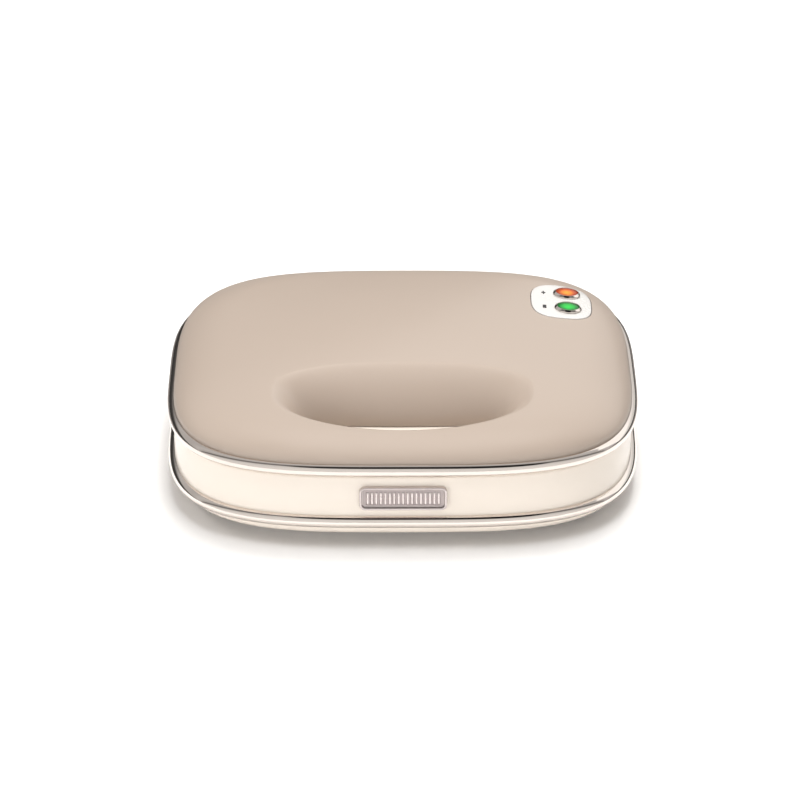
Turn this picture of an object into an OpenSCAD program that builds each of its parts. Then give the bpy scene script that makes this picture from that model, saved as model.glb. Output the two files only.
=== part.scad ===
// Countertop sandwich toaster: a shallow rounded base and a hinged, domed lid with a hand opening.
// Millimetres. +Z up, +Y towards the hinge, the feet stand on z = 0.

/* [Outline] */
// Width over the lid trim
trim_w = 240; // [236:1:256]
// Depth over the lid trim
trim_d = 230; // [226:1:246]
// Squareness of the rounded outline
corner_power = 3.5; // [3.3:0.1:4.2]
// How far a chrome trim stands proud of the shells
trim_proud = 3.1; // [2.2:0.1:3.8]
// Height of a chrome trim
trim_h = 6.4; // [5.6:0.1:7.2]
// Wall of the moulded shells
shell_wall = 2.6; // [2:0.1:2.8]

/* [Heights] */
// Height of the feet below the bottom cover
foot_h = 6; // [4:0.5:10]
// Height of the bottom cover below the base trim
pan_h = 5.3; // [4.8:0.1:8]
// Height of the band between the two trims
band_h = 21.2; // [20.8:0.1:30]
// Gap between the closed lid trim and the band
parting_gap = 0.4; // [0.3:0.1:0.8]

/* [Lid dome] */
// Height of the upright skirt above the middle of the lid trim
skirt_rise = 3; // [2.4:0.1:6]
// Height of the rounded rim
rim_h = 11.5; // [11:0.1:14]
// Width of the rounded rim
rim_w = 24; // [20:0.5:26]
// Rise of the dome above the rim
dome_h = 10; // [9:0.5:14]
// How far the dome dips around the grip
grip_dip = 3.6; // [3:0.1:4.2]
// Half width of the dip
grip_dip_w = 75; // [65:1:85]
// Half depth of the dip
grip_dip_d = 30; // [24:1:34]

/* [Hand opening] */
// Half width of the opening at its upper edge
lip_half_w = 66; // [64:0.5:68]
// Upper edge in front of the middle of the opening
lip_front = 34.3; // [33:0.1:36]
// Upper edge behind the middle of the opening
lip_rear = 26; // [24:0.5:28]
// Distance from the front of the trim to the middle of the opening
opening_front = 55; // [53:0.5:57]
// Half width of the opening at its foot
foot_half_w = 50; // [44:1:54]
// Half depth of the opening at its foot
foot_half_d = 14; // [12:0.5:15]
// How far the middle of the foot lies in front of the middle of the opening
foot_shift = 9.5; // [9:0.1:11.5]
// How far the sides of the foot swing back of its middle
foot_bow = 3; // [2:0.1:3.4]
// Roundness of the front edge of the opening
front_power = 2.2; // [2:0.1:2.6]
// Roundness of the rear edge of the opening
rear_power = 3; // [2.4:0.1:3.4]
// Roundness of the rear edge of the foot
foot_power = 4; // [3:0.1:5]

/* [Grill plates] */
// Width of the underpan between a plate and the trim, left and right
plate_side = 13.9; // [13:0.1:22]
// Width of the underpan between the plates and the trim, at the rear
plate_rear = 20.9; // [20:0.1:24]
// Width of the underpan between the foot of the hand opening and the plates
plate_front = 9.5; // [9.5:0.1:14]
// Corner radius of a plate
plate_r = 16; // [14:1:22]
// Width of the land around a pocket
plate_land = 6; // [5:0.5:9]
// Depth of a pocket
pocket_h = 8; // [6:0.5:8.4]
// Thickness of a plate behind its pocket
plate_floor = 3; // [2.4:0.1:3.2]
// Gap between the two closed plates
plate_gap = 0.4; // [0.3:0.1:0.8]
// Number of grill ribs in each half of a pocket
rib_count = 7; // [5:1:9]
// Width of a grill rib
rib_w = 3.2; // [2.4:0.1:4]
// Height of a grill rib
rib_h = 1.8; // [1:0.1:2.4]
// Height of the ridge that parts the two sandwiches
ridge_h = 5; // [3:0.5:6]

/* [Heating] */
// Diameter of a tubular element
element_d = 6.4; // [5.6:0.1:6.6]
// Distance from the side of a reflector to the leg of an element
element_side = 16; // [14:0.5:20]
// Distance from the end of a reflector to the bend of an element
element_end = 10; // [8:0.5:12]
// Bend radius of an element
element_bend = 14; // [12:1:24]
// Distance from the side of a plate to its reflector
reflector_side = 34; // [33:1:38]
// Distance from the end of a plate to its reflector
reflector_end = 14; // [13:0.5:18]
// Sheet thickness of a reflector
sheet_t = 0.8; // [0.6:0.1:0.9]
// Diameter of a disc thermostat
thermostat_d = 16; // [14:0.5:18]

/* [Hinge] */
// Distance between the two hinges
hinge_spacing = 100; // [92:1:104]
// Diameter of a hinge pin
pin_d = 4; // [3:0.5:5]
// Outer radius of the hinge eyes
eye_r = 4.6; // [4.2:0.1:4.8]
// Width of a lid hinge arm
arm_w = 18; // [14:1:22]
// Thickness of a hinge cheek
cheek_t = 4; // [3:0.5:5]
// Free space between a trim and the hinge eyes
hinge_air = 0.9; // [0.8:0.1:2]
// Thickness of a hinge arm
arm_t = 3; // [2.6:0.1:3.2]

/* [Front badge] */
// Width of the badge
badge_w = 43.5; // [36:0.5:60]
// Height of the badge
badge_h = 12.5; // [10:0.5:14]
// Thickness of the badge frame
badge_t = 2; // [1.4:0.1:2.6]
// Width of the badge frame's rim
badge_rim = 1.4; // [1:0.1:2]
// How far the badge sits below the middle of the band
badge_drop = 0.6; // [0:0.1:1]

/* [Indicator panel] */
// Distance from the right of the trim to the middle of the panel
panel_side = 36.7; // [36:0.1:40]
// Distance from the rear of the trim to the middle of the panel
panel_rear = 64; // [63:0.5:68]
// Half width of the panel
panel_half_w = 15.8; // [14.5:0.1:16.5]
// Half depth of the panel
panel_half_d = 23; // [21:0.5:24]
// How far the panel stands proud of the dome
panel_proud = 0.5; // [0.3:0.1:1]
// Distance between the two lamps
lamp_pitch = 20; // [18:0.5:22]
// How far the lamps sit right of the middle of the panel
lamp_shift = 3.2; // [2:0.1:4]
// Diameter of a lens
lens_d = 11.4; // [10:0.1:11.8]
// Height of a lamp bezel
bezel_h = 1.6; // [1.4:0.1:2.4]

/* [Feet and cord inlet] */
// Diameter of a foot
foot_d = 18; // [14:1:22]
// Distance from the side of the trim to the middle of a foot
foot_side = 40; // [38:1:50]
// Distance from the front or rear of the trim to the middle of a foot
foot_end = 45; // [44:1:54]
// Bore of the cord bush
cord_bore = 7; // [6:0.1:8]
// Height of the cord bush above the bottom of the cover
cord_rise = 19; // [19:0.5:20]

/* [Fits] */
// Clearance between parts that seat on each other
seat = 0.1; // [0.05:0.05:0.2]
// Clearance between a trim and the shell inside it
trim_fit = 0.15; // [0.1:0.05:0.3]
// Clearance around a plate in its frame
plate_fit = 0.5; // [0.4:0.1:0.6]
// Radial clearance of a hinge pin in its arm
pin_run = 0.05; // [0.03:0.01:0.08]
// Radial clearance of a fixed pin or screw
pin_hold = 0.02; // [0.01:0.01:0.04]
// Side clearance of a hinge arm between its cheeks
cheek_run = 0.4; // [0.3:0.05:0.6]

/* [Hidden] */

// Resolution
outline_points = 80;
bearing_warp = 5;
dome_steps = 13;
dome_spread = 2.2;
wall_steps = 6;
wall_roll = 1.55;
wall_roll_rear = 0.15;
round_steps = 8;
corner_steps = 8;
fine = 48;
past = 1;

// Shell outline
shell_a = trim_w / 2 - trim_proud;
shell_b = trim_d / 2 - trim_proud;

// Heights of the stack, from the table up
cover_top = foot_h + pan_h;
base_trim_z = cover_top + trim_h / 2;
band_bottom = base_trim_z + trim_h / 2;
band_top = band_bottom + band_h;
lid_trim_z = band_top + parting_gap + trim_h / 2;
lid_edge_z = lid_trim_z + skirt_rise;
flange_t = 1.2;
flange_w = 5;
base_wall_bottom = cover_top + flange_t + seat;
lid_wall_bottom = lid_trim_z - trim_h / 2 + flange_t + seat;
deck_bottom = band_top - shell_wall;
cover_wall = 2.4;
cover_floor = foot_h + cover_wall;
cover_inset = 1;
cover_round = 5;

// Hand opening
lip_offset = trim_d / 2 - opening_front;
foot_offset = lip_offset + foot_shift;
opening_foot_z = band_top + parting_gap;

// Underpan of the lid
underpan_t = 2;
underpan_z = lid_trim_z - trim_h / 2 + parting_gap;
underpan_inset = flange_w + parting_gap;
opening_air = 1.2;

// Plates: local z = 0 is the face of the land, and z grows away from the sandwich
plate_back_y = shell_b - flange_w - plate_rear;
plate_front_y = foot_half_d - foot_offset + plate_front;
plate_w = 2 * (shell_a - flange_w - plate_side);
plate_d = plate_back_y - plate_front_y;
plate_y = (plate_back_y + plate_front_y) / 2;
faces_mid = (band_top + underpan_z) / 2;
lower_face = faces_mid - plate_gap / 2;
upper_face = faces_mid + plate_gap / 2;
plate_back = pocket_h + plate_floor;
plate_flange_z = 3.1;
plate_flange_t = 2;
plate_flange_w = 3;
ear_d = 9.6;
ear_x = shell_a - flange_w - 7.2;
ear_reach = plate_d / 5;
ear_y = [plate_y - ear_reach, plate_y + ear_reach];
element_gap = 0.3;
element_z = plate_back + element_gap + element_d / 2;
reflector_z = element_z + element_d / 2 + element_gap;
reflector_r = 14;
reflector_w = plate_w - 2 * reflector_side;
reflector_d = plate_d - 2 * reflector_end;
element_w = reflector_w - 2 * element_side;
element_l = reflector_d - 2 * element_end;
boss_d = 8;
boss_x = reflector_w / 4;
boss_y = reflector_d / 4;
boss_hole_l = 5;
screw_d = 3.2;
head_d = 6.4;
head_h = 1.8;

// Hinge
hinge_y = trim_d / 2 + hinge_air + eye_r;
hinge_z = band_top + parting_gap + 1.7;
hinge_reach = hinge_y + eye_r - trim_d / 2;
pin_head_d = 6.4;
pin_head_t = 1.4;
cheek_x = arm_w / 2 + cheek_run;
arm_lift = 0.3;
arm_bottom = lid_trim_z + trim_h / 2 + arm_lift;
arm_lap = 0.6;
arm_neck_run = 3;
arm_neck_rise = 1.6;
arm_turn = 55;
arm_plate_l = 18;
arm_screw_y = shell_b - 13;

// Screw places
cover_screw_x = [shell_a - 33, 28];
cover_screw_y = [26 - shell_b, shell_b - 13];
cover_screw_at = [for (k = [0, 1], side = [-1, 1]) [side * cover_screw_x[k], cover_screw_y[k]]];
cover_screw_l = 14;
cover_post_top = cover_top + 4.7;
cover_head_z = foot_h + 5;
underpan_screw_front = [shell_a - 39, 24 - shell_b];
collar_top = upper_face + plate_flange_z - seat;
head_recess = head_h + 0.2;

// Cord inlet
cord_z = foot_h + cord_rise;
cord_bush_r = 5.4;
cord_flange_r = 7;
cord_flange_t = 3;
clamp_y = shell_b - 15;
clamp_w = 26;
clamp_d = 9;
clamp_t = 3.4;
clamp_screw_x = 8.5;
clamp_screw_l = 20;
terminal_w = 36;
terminal_d = 14;
terminal_h = 9;
terminal_at = [plate_w / 5, plate_back_y - 6];
foot_span_x = trim_w - 2 * foot_side;
foot_span_y = trim_d - 2 * foot_end;

// Badge
badge_z = band_bottom + band_h / 2 - badge_drop;
badge_r = 2.4;
badge_peg_x = 14;
badge_peg_d = 3;
badge_reed_pitch = 2.2;

// Panel and lamps
panel_power = 3;
panel_flange = 1.8;
panel_flange_t = 1.2;
panel_air = 0.5;
panel_points = 40;
panel_x = trim_w / 2 - panel_side;
panel_y = trim_d / 2 - panel_rear;
lamp_x = panel_x + lamp_shift;
bezel_tube_r = lens_d / 2 + 0.5;
bezel_r = bezel_tube_r + 1;
board_drop = 7.4;
board_t = 1.2;
board_w = 2 * lens_d;
board_l = lamp_pitch + 16;
board_post_x = -8;
board_post_y = lamp_pitch / 2 + 4;
thread_in = 4.5;
mark_x = panel_x - 9;
mark_l = 3.8;
mark_t = 0.2;
plus_w = 2.2;
plus_bar = 0.9;
plus_post = 0.7;
block_w = 1.9;

// Colours
cream = [0.94, 0.89, 0.80];
taupe = [0.80, 0.73, 0.65];
chrome = [0.82, 0.80, 0.79];
steel = [0.66, 0.66, 0.67];
dark = [0.16, 0.16, 0.17];
white = [0.95, 0.95, 0.93];

// ---------------------------------------------------------------- curves and surfaces

function signed_power(v, p) = sign(v) * pow(abs(v), p);

function lerp(p, q, f) = p + (q - p) * f;

// Compass bearing of outline point i, drawn together towards the corners
function bearing(i, count) = 360 * i / count + bearing_warp * sin(4 * 360 * i / count);

// Point of a superellipse with half axes a and b at a bearing
function superellipse_point(a, b, power, f) =
    let(r = pow(pow(abs(cos(f)) / a, power) + pow(abs(sin(f)) / b, power), -1 / power))
    [r * cos(f), r * sin(f)];

// The outline of the shells, drawn in by an inset
function outline(inset) = [for (i = [0 : outline_points - 1])
    superellipse_point(shell_a - inset, shell_b - inset, corner_power, bearing(i, outline_points))];

// An edge of the hand opening: rounder in front than behind
function opening_edge(half_w, front, rear, offset, behind_power) = [for (i = [0 : outline_points - 1])
    let(f = bearing(i, outline_points), behind = sin(f) > 0, p = behind ? behind_power : front_power)
    [half_w * signed_power(cos(f), 2 / p), -offset + (behind ? rear : front) * signed_power(sin(f), 2 / p)]];

function lip_edge(grow) =
    opening_edge(lip_half_w + grow, lip_front + grow, lip_rear + grow, lip_offset, rear_power);

function foot_edge(grow) = [
    for (p = opening_edge(foot_half_w + grow, foot_half_d + grow, foot_half_d + grow, foot_offset, foot_power))
    [p[0], p[1] + foot_bow * pow(p[0] / foot_half_w, 2)]];

// Height of the lid at a place: upright skirt, quarter-ellipse rim, shallow dome, dip around the grip
function edge_distance(x, y, inset) =
    let(a = shell_a - inset, b = shell_b - inset)
    (1 - pow(pow(abs(x) / a, corner_power) + pow(abs(y) / b, corner_power), 1 / corner_power)) * (a + b) / 2;

function rim_share(distance) =
    let(u = 1 - min(1, max(0, distance / rim_w))) sqrt(1 - u * u);

function dip_share(x, y) =
    exp(-pow(x / grip_dip_w, 2) - pow((y + lip_offset + grip_dip_d + 2) / grip_dip_d, 2));

function dome_share(x, y) = max(0, 1 - pow(x / shell_a, 2)) * max(0, 1 - pow(y / shell_b, 2));

function lid_z(x, y, inset = 0) =
    lid_edge_z + (rim_h - grip_dip * dip_share(x, y)) * rim_share(edge_distance(x, y, inset))
    + dome_h * dome_share(x, y) - inset;

// Rounded rectangle as a list of points
function rounded_box(w, d, r) = [for (c = [[1, 1, 0], [-1, 1, 90], [-1, -1, 180], [1, -1, 270]])
    for (k = [0 : corner_steps])
    let(f = c[2] + 90 * k / corner_steps)
    [c[0] * (w / 2 - r) + r * cos(f), c[1] * (d / 2 - r) + r * sin(f)]];

// Rings of equal length joined into a closed tube
module ring_solid(rings) {
    count = len(rings[0]);
    total = len(rings);
    polyhedron(
        points = [for (ring = rings) each ring],
        faces = [for (k = [0 : total - 1], i = [0 : count - 1])
            let(j = (i + 1) % count, here = k * count, next = (k + 1) % total * count)
            each [[here + i, next + i, next + j], [here + i, next + j, here + j]]]);
}

// Rings of equal length joined and closed at both ends
module capped_solid(rings) {
    count = len(rings[0]);
    total = len(rings);
    polyhedron(
        points = [for (ring = rings) each ring],
        faces = concat(
            [[for (i = [0 : count - 1]) i]],
            [for (k = [0 : total - 2], i = [0 : count - 1])
                let(j = (i + 1) % count, here = k * count, next = here + count)
                each [[here + i, next + i, next + j], [here + i, next + j, here + j]]],
            [[for (i = [count - 1 : -1 : 0]) (total - 1) * count + i]]));
}

function at_height(points, z) = [for (p = points) [p[0], p[1], z]];

// Moves the middle of the outline back so that the box over trim and hinge is centred on the origin
module centred() {
    translate([0, -hinge_reach / 2, 0]) children();
}

module screw(length) {
    translate([0, 0, -head_h]) cylinder(d = head_d, h = head_h, $fn = fine);
    cylinder(d = screw_d, h = length, $fn = fine);
}

module both_sides(x) {
    for (side = [-1, 1]) translate([side * x, 0, 0]) children();
}

module ear_places() {
    for (side = [-1, 1], y = ear_y) translate([side * ear_x, y, 0]) children();
}

// Places things built in plate coordinates: above the sandwich, or mirrored below it
module above_sandwich() {
    translate([0, plate_y, upper_face]) children();
}

module below_sandwich() {
    translate([0, plate_y, lower_face]) mirror([0, 0, 1]) children();
}

// ---------------------------------------------------------------- trims and shells

module trim_ring(z) {
    half = trim_h / 2;
    bead = [for (k = [0 : round_steps])
        let(f = -90 + 180 * k / round_steps) [-max(trim_fit, trim_proud * cos(f)), half * sin(f)]];
    profile = concat(bead, [[-trim_fit, flange_t - half], [flange_w, flange_t - half], [flange_w, -half]]);
    color(chrome) centred() ring_solid([for (p = profile) at_height(outline(p[0]), z + p[1])]);
}

module base_trim_ring() trim_ring(base_trim_z);

module lid_trim_ring() trim_ring(lid_trim_z);

module hinge_cheek() {
    rotate([90, 0, 90]) difference() {
        union() {
            linear_extrude(cheek_t) polygon([
                [shell_b - shell_wall - 3, band_top - 14], [shell_b - shell_wall - 3, band_top - parting_gap],
                [hinge_y - eye_r, band_top - parting_gap], [hinge_y - eye_r, hinge_z],
                [hinge_y + eye_r, hinge_z], [hinge_y + eye_r, hinge_z - eye_r], [shell_b + 2, band_top - 14]]);
            translate([hinge_y, hinge_z, 0]) cylinder(r = eye_r, h = cheek_t, $fn = fine);
        }
        translate([hinge_y, hinge_z, -past])
            cylinder(r = pin_d / 2 + pin_hold, h = cheek_t + 2 * past, $fn = fine);
    }
}

module hinge_cheeks() {
    both_sides(hinge_spacing / 2) {
        translate([cheek_x, 0, 0]) hinge_cheek();
        translate([-cheek_x - cheek_t, 0, 0]) hinge_cheek();
    }
}

module plate_window(h) {
    translate([0, plate_y, 0]) linear_extrude(h)
        polygon(rounded_box(plate_w + 2 * plate_fit, plate_d + 2 * plate_fit, plate_r + plate_fit));
}

module base_shell() {
    color(cream) centred() difference() {
        union() {
            difference() {
                translate([0, 0, base_wall_bottom])
                    linear_extrude(band_top - base_wall_bottom) polygon(outline(0));
                translate([0, 0, base_wall_bottom - past])
                    linear_extrude(deck_bottom - base_wall_bottom + past) polygon(outline(shell_wall));
            }
            for (p = cover_screw_at) translate([p[0], p[1], cover_post_top + seat])
                cylinder(d = boss_d, h = deck_bottom + past - cover_post_top, $fn = fine);
            hinge_cheeks();
        }
        translate([0, 0, deck_bottom - past]) plate_window(shell_wall + 2 * past);
        for (p = cover_screw_at) translate([p[0], p[1], cover_post_top])
            cylinder(r = screw_d / 2 + pin_hold, h = 12, $fn = fine);
        translate([0, shell_b - shell_wall - past, cord_z]) rotate([-90, 0, 0])
            cylinder(r = cord_bush_r + seat, h = shell_wall + 2 * past, $fn = fine);
        both_sides(badge_peg_x) translate([0, -shell_b - past, badge_z]) rotate([-90, 0, 0])
            cylinder(r = badge_peg_d / 2 + seat, h = shell_wall + 2 * past, $fn = fine);
    }
}

module cover_body() {
    outer = [for (k = [0 : round_steps])
        let(f = 90 * k / round_steps)
        [cover_inset + cover_round * (1 - sin(f)), foot_h + cover_round * (1 - cos(f))]];
    inner_round = cover_round - cover_wall;
    inner = [for (k = [round_steps / 2 : -1 : 0])
        let(f = 180 * k / round_steps)
        [cover_inset + cover_wall + inner_round * (1 - sin(f)), cover_floor + inner_round * (1 - cos(f))]];
    rim = [[cover_inset, cover_top - seat], [cover_inset + cover_wall, cover_top - seat]];
    profile = concat(outer, rim, inner);
    capped_solid([for (p = profile) at_height(outline(p[0]), p[1])]);
}

module vent_slots() {
    for (x = [-52.5 : 15 : 52.5], y = [-28, 28]) translate([x - 1.6, y - 14, foot_h - past])
        cube([3.2, 28, cover_wall + 2 * past]);
}

module bottom_cover() {
    ear_under = lower_face - plate_flange_z - plate_flange_t;
    color(cream) centred() difference() {
        union() {
            cover_body();
            for (p = cover_screw_at) translate([p[0], p[1], foot_h + cover_wall / 2])
                cylinder(d = boss_d + 2, h = cover_post_top - foot_h - cover_wall / 2, $fn = fine);
            ear_places() translate([0, 0, foot_h + cover_wall / 2])
                cylinder(d = boss_d, h = ear_under - seat - foot_h - cover_wall / 2, $fn = fine);
            translate([-clamp_w / 2, clamp_y - clamp_d / 2, foot_h + cover_wall / 2])
                cube([clamp_w, clamp_d, cord_z - cord_bore / 2 - foot_h - cover_wall / 2]);
        }
        for (p = cover_screw_at) translate([p[0], p[1], foot_h - past]) {
            cylinder(d = head_d + 1, h = cover_head_z - foot_h + past, $fn = fine);
            cylinder(d = screw_d + 0.8, h = cover_post_top - foot_h + 2 * past, $fn = fine);
        }
        both_sides(clamp_screw_x) translate([0, clamp_y, cover_floor + 2])
            cylinder(r = screw_d / 2 + pin_hold, h = cord_rise, $fn = fine);
        foot_places() translate([0, 0, foot_h - past])
            cylinder(r = foot_d / 6 + seat, h = cover_wall + 2 * past, $fn = fine);
        vent_slots();
    }
}

module foot_places() {
    for (sx = [-1, 1], sy = [-1, 1]) translate([sx * foot_span_x / 2, sy * foot_span_y / 2, 0]) children();
}

module foot(side_x, side_y) {
    stem = foot_d / 6;
    barb = stem + 1;
    color(dark) centred() translate([side_x * foot_span_x / 2, side_y * foot_span_y / 2, 0])
        rotate_extrude($fn = fine) polygon([
            [0, 0], [foot_d / 2 - 2, 0], [foot_d / 2 - 1, 1], [foot_d / 2, foot_h - seat], [stem, foot_h - seat],
            [stem, cover_floor + seat], [barb, cover_floor + seat], [stem - 1, cover_floor + 2.4],
            [0, cover_floor + 2.4]]);
}

module cover_screws() {
    color(steel) centred() for (p = cover_screw_at) translate([p[0], p[1], cover_head_z]) screw(cover_screw_l);
}

// ---------------------------------------------------------------- cord inlet and wiring

module cord_bush() {
    inner_face = shell_wall + seat;
    color(dark) centred() translate([0, shell_b, cord_z]) rotate([-90, 0, 0])
        rotate_extrude($fn = fine) polygon([
            [cord_bore / 2, cord_flange_t + seat], [cord_flange_r - 1, cord_flange_t + seat],
            [cord_flange_r, cord_flange_t - 1], [cord_flange_r, seat], [cord_bush_r, seat],
            [cord_bush_r, -inner_face], [cord_flange_r, -inner_face], [cord_flange_r, -inner_face - 2],
            [cord_bore / 2, -inner_face - 2]]);
}

module cord_clamp() {
    clamp_z = cord_z + cord_bore / 2;
    color(dark) centred() difference() {
        translate([-clamp_w / 2, clamp_y - clamp_d / 2, clamp_z]) cube([clamp_w, clamp_d, clamp_t]);
        both_sides(clamp_screw_x) translate([0, clamp_y, clamp_z - past])
            cylinder(r = screw_d / 2 + pin_hold, h = clamp_t + 2 * past, $fn = fine);
    }
}

module clamp_screws() {
    color(steel) centred() both_sides(clamp_screw_x)
        translate([0, clamp_y, cord_z + cord_bore / 2 + clamp_t]) rotate([180, 0, 0]) screw(clamp_screw_l);
}

module terminal_block() {
    wire_z = terminal_h / 2 - 0.5;
    color(white) centred() translate([terminal_at[0], terminal_at[1], cover_floor + seat]) difference() {
        translate([-terminal_w / 2, -terminal_d / 2, 0]) cube([terminal_w, terminal_d, terminal_h]);
        for (x = [-terminal_w / 3, 0, terminal_w / 3]) {
            translate([x, -terminal_d / 2 - past, wire_z]) rotate([-90, 0, 0])
                cylinder(d = terminal_h * 0.38, h = terminal_d + 2 * past, $fn = fine);
            for (y = [-terminal_d / 4, terminal_d / 4]) translate([x, y, wire_z])
                cylinder(d = terminal_h / 3, h = terminal_h, $fn = fine);
        }
    }
}

// ---------------------------------------------------------------- badge

module on_front(z) {
    translate([0, -shell_b - seat, z]) rotate([90, 0, 0]) children();
}

module badge_frame() {
    color(chrome) centred() on_front(badge_z) linear_extrude(badge_t) difference() {
        polygon(rounded_box(badge_w, badge_h, badge_r));
        polygon(rounded_box(badge_w - 2 * badge_rim, badge_h - 2 * badge_rim, badge_r - badge_rim / 2));
    }
}

module badge_plate() {
    plate = badge_t * 0.45;
    inner_w = badge_w - 2 * badge_rim - 2 * seat;
    inner_h = badge_h - 2 * badge_rim - 2 * seat;
    reeds = floor((inner_w / 2 - badge_reed_pitch) / badge_reed_pitch);
    color(steel) centred() on_front(badge_z) {
        linear_extrude(plate) polygon(rounded_box(inner_w, inner_h, badge_r - badge_rim / 2));
        for (k = [-reeds : reeds]) translate([k * badge_reed_pitch - 0.5, -inner_h / 2 + 1.4, plate / 2])
            cube([1, inner_h - 2.8, plate]);
        both_sides(badge_peg_x) translate([0, 0, -shell_wall - 1])
            cylinder(d = badge_peg_d, h = shell_wall + 1 + plate / 2, $fn = fine);
    }
}

// ---------------------------------------------------------------- grill plates and heating

module grill_plate() {
    pocket_w = plate_w - 2 * plate_land;
    pocket_d = plate_d - 2 * plate_land;
    pocket_r = plate_r - plate_land / 2;
    half_w = pocket_w / 2;
    rib_pitch = half_w / (rib_count + 1);
    difference() {
        union() {
            linear_extrude(plate_back) polygon(rounded_box(plate_w, plate_d, plate_r));
            translate([0, 0, plate_flange_z]) linear_extrude(plate_flange_t)
                polygon(rounded_box(plate_w + 2 * plate_flange_w, plate_d + 2 * plate_flange_w, plate_r + 2));
            translate([0, -plate_y, plate_flange_z]) ear_places()
                cylinder(d = ear_d, h = plate_flange_t, $fn = fine);
            for (side = [-1, 1]) translate([-ear_x, side * ear_reach - ear_d / 2, plate_flange_z])
                cube([2 * ear_x, ear_d, plate_flange_t]);
            for (x = [-boss_x, boss_x], y = [-boss_y, boss_y]) translate([x, y, plate_back - past])
                cylinder(d = boss_d, h = reflector_z - seat - plate_back + past, $fn = fine);
        }
        translate([0, 0, -past]) linear_extrude(pocket_h + past)
            polygon(rounded_box(pocket_w, pocket_d, pocket_r));
        translate([0, -plate_y, plate_flange_z - past]) ear_places()
            cylinder(d = screw_d + 0.8, h = plate_flange_t + 2 * past, $fn = fine);
        for (x = [-boss_x, boss_x], y = [-boss_y, boss_y]) translate([x, y, reflector_z - boss_hole_l])
            cylinder(r = screw_d / 2 + pin_hold, h = boss_hole_l + past, $fn = fine);
    }
    for (side = [-1, 1], k = [1 : rib_count])
        translate([side * k * rib_pitch - rib_w / 2, -pocket_d / 2 + pocket_r, pocket_h - rib_h])
            cube([rib_w, pocket_d - 2 * pocket_r, rib_h + plate_floor / 2]);
    translate([-rib_w / 2, -pocket_d / 2 - plate_land / 2, pocket_h - ridge_h])
        cube([rib_w, pocket_d + plate_land, ridge_h + plate_floor / 2]);
}

module heating_element() {
    x = element_w / 2;
    front = -element_l / 2;
    leg = element_l - element_bend + 6;
    translate([0, 0, element_z]) {
        translate([0, front, 0]) rotate([0, 90, 0])
            translate([0, 0, -x + element_bend])
            cylinder(d = element_d, h = 2 * (x - element_bend), $fn = fine);
        for (side = [-1, 1]) {
            translate([side * x, front + element_bend, 0]) rotate([-90, 0, 0])
                cylinder(d = element_d, h = leg, $fn = fine);
            translate([side * x, front + element_bend + leg - past, 0]) rotate([-90, 0, 0])
                cylinder(d = element_d / 3, h = 8 + past, $fn = fine);
            translate([side * (x - element_bend), front + element_bend, 0])
                rotate([0, 0, side > 0 ? -90 : 180])
                rotate_extrude(angle = 90, $fn = fine) translate([element_bend, 0])
                circle(d = element_d, $fn = fine);
        }
    }
}

module reflector() {
    wall_h = reflector_z - plate_back - element_gap;
    difference() {
        translate([0, 0, plate_back + element_gap]) linear_extrude(wall_h + sheet_t)
            polygon(rounded_box(reflector_w, reflector_d, reflector_r));
        translate([0, 0, plate_back - past]) linear_extrude(wall_h + element_gap + past)
            polygon(rounded_box(reflector_w - 2 * sheet_t, reflector_d - 2 * sheet_t, reflector_r - sheet_t));
        for (x = [-boss_x, boss_x], y = [-boss_y, boss_y]) translate([x, y, reflector_z - past])
            cylinder(d = screw_d + 0.4, h = sheet_t + 2 * past, $fn = fine);
        translate([0, 0, reflector_z - past])
            cylinder(d = thermostat_d + 2, h = sheet_t + 2 * past, $fn = fine);
        both_sides(element_w / 2)
            translate([-element_d / 2 - 0.6, reflector_d / 2 - sheet_t - past, plate_back - past])
            cube([element_d + 1.2, sheet_t + 2 * past, element_gap + element_d + 1.2 + past]);
    }
}

module thermostat() {
    body_h = 6;
    tab_t = 0.8;
    translate([0, 0, plate_back + seat]) {
        cylinder(d = thermostat_d, h = body_h, $fn = fine);
        translate([-thermostat_d / 2 - 4, -3.5, 0]) cube([thermostat_d + 8, 7, tab_t]);
        for (x = [-4, 4]) translate([x - 0.4, -2.4, body_h - past]) cube([0.8, 4.8, 3.4 + past]);
    }
}

module reflector_screws() {
    for (x = [-boss_x, boss_x], y = [-boss_y, boss_y]) translate([x, y, reflector_z + sheet_t])
        rotate([180, 0, 0]) screw(boss_hole_l);
}

module lower_grill_plate() color(dark) centred() below_sandwich() grill_plate();

module upper_grill_plate() color(dark) centred() above_sandwich() grill_plate();

module lower_element() color(steel) centred() below_sandwich() heating_element();

module upper_element() color(steel) centred() above_sandwich() heating_element();

module lower_reflector() color(steel) centred() below_sandwich() reflector();

module upper_reflector() color(steel) centred() above_sandwich() reflector();

module lower_thermostat() color(dark) centred() below_sandwich() thermostat();

module upper_thermostat() color(dark) centred() above_sandwich() thermostat();

module lower_plate_screws() color(steel) centred() below_sandwich() reflector_screws();

module upper_plate_screws() color(steel) centred() above_sandwich() reflector_screws();

// ---------------------------------------------------------------- hinge

module hinge_pin(side) {
    half = cheek_x + cheek_t;
    color(steel) centred() translate([side * hinge_spacing / 2, hinge_y, hinge_z]) rotate([0, 90, 0]) {
        translate([0, 0, -half - seat]) cylinder(d = pin_d, h = 2 * half + 2 * seat, $fn = fine);
        for (z = [-half - seat - pin_head_t, half + seat]) translate([0, 0, z])
            cylinder(d = pin_head_d, h = pin_head_t, $fn = fine);
    }
}

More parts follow.
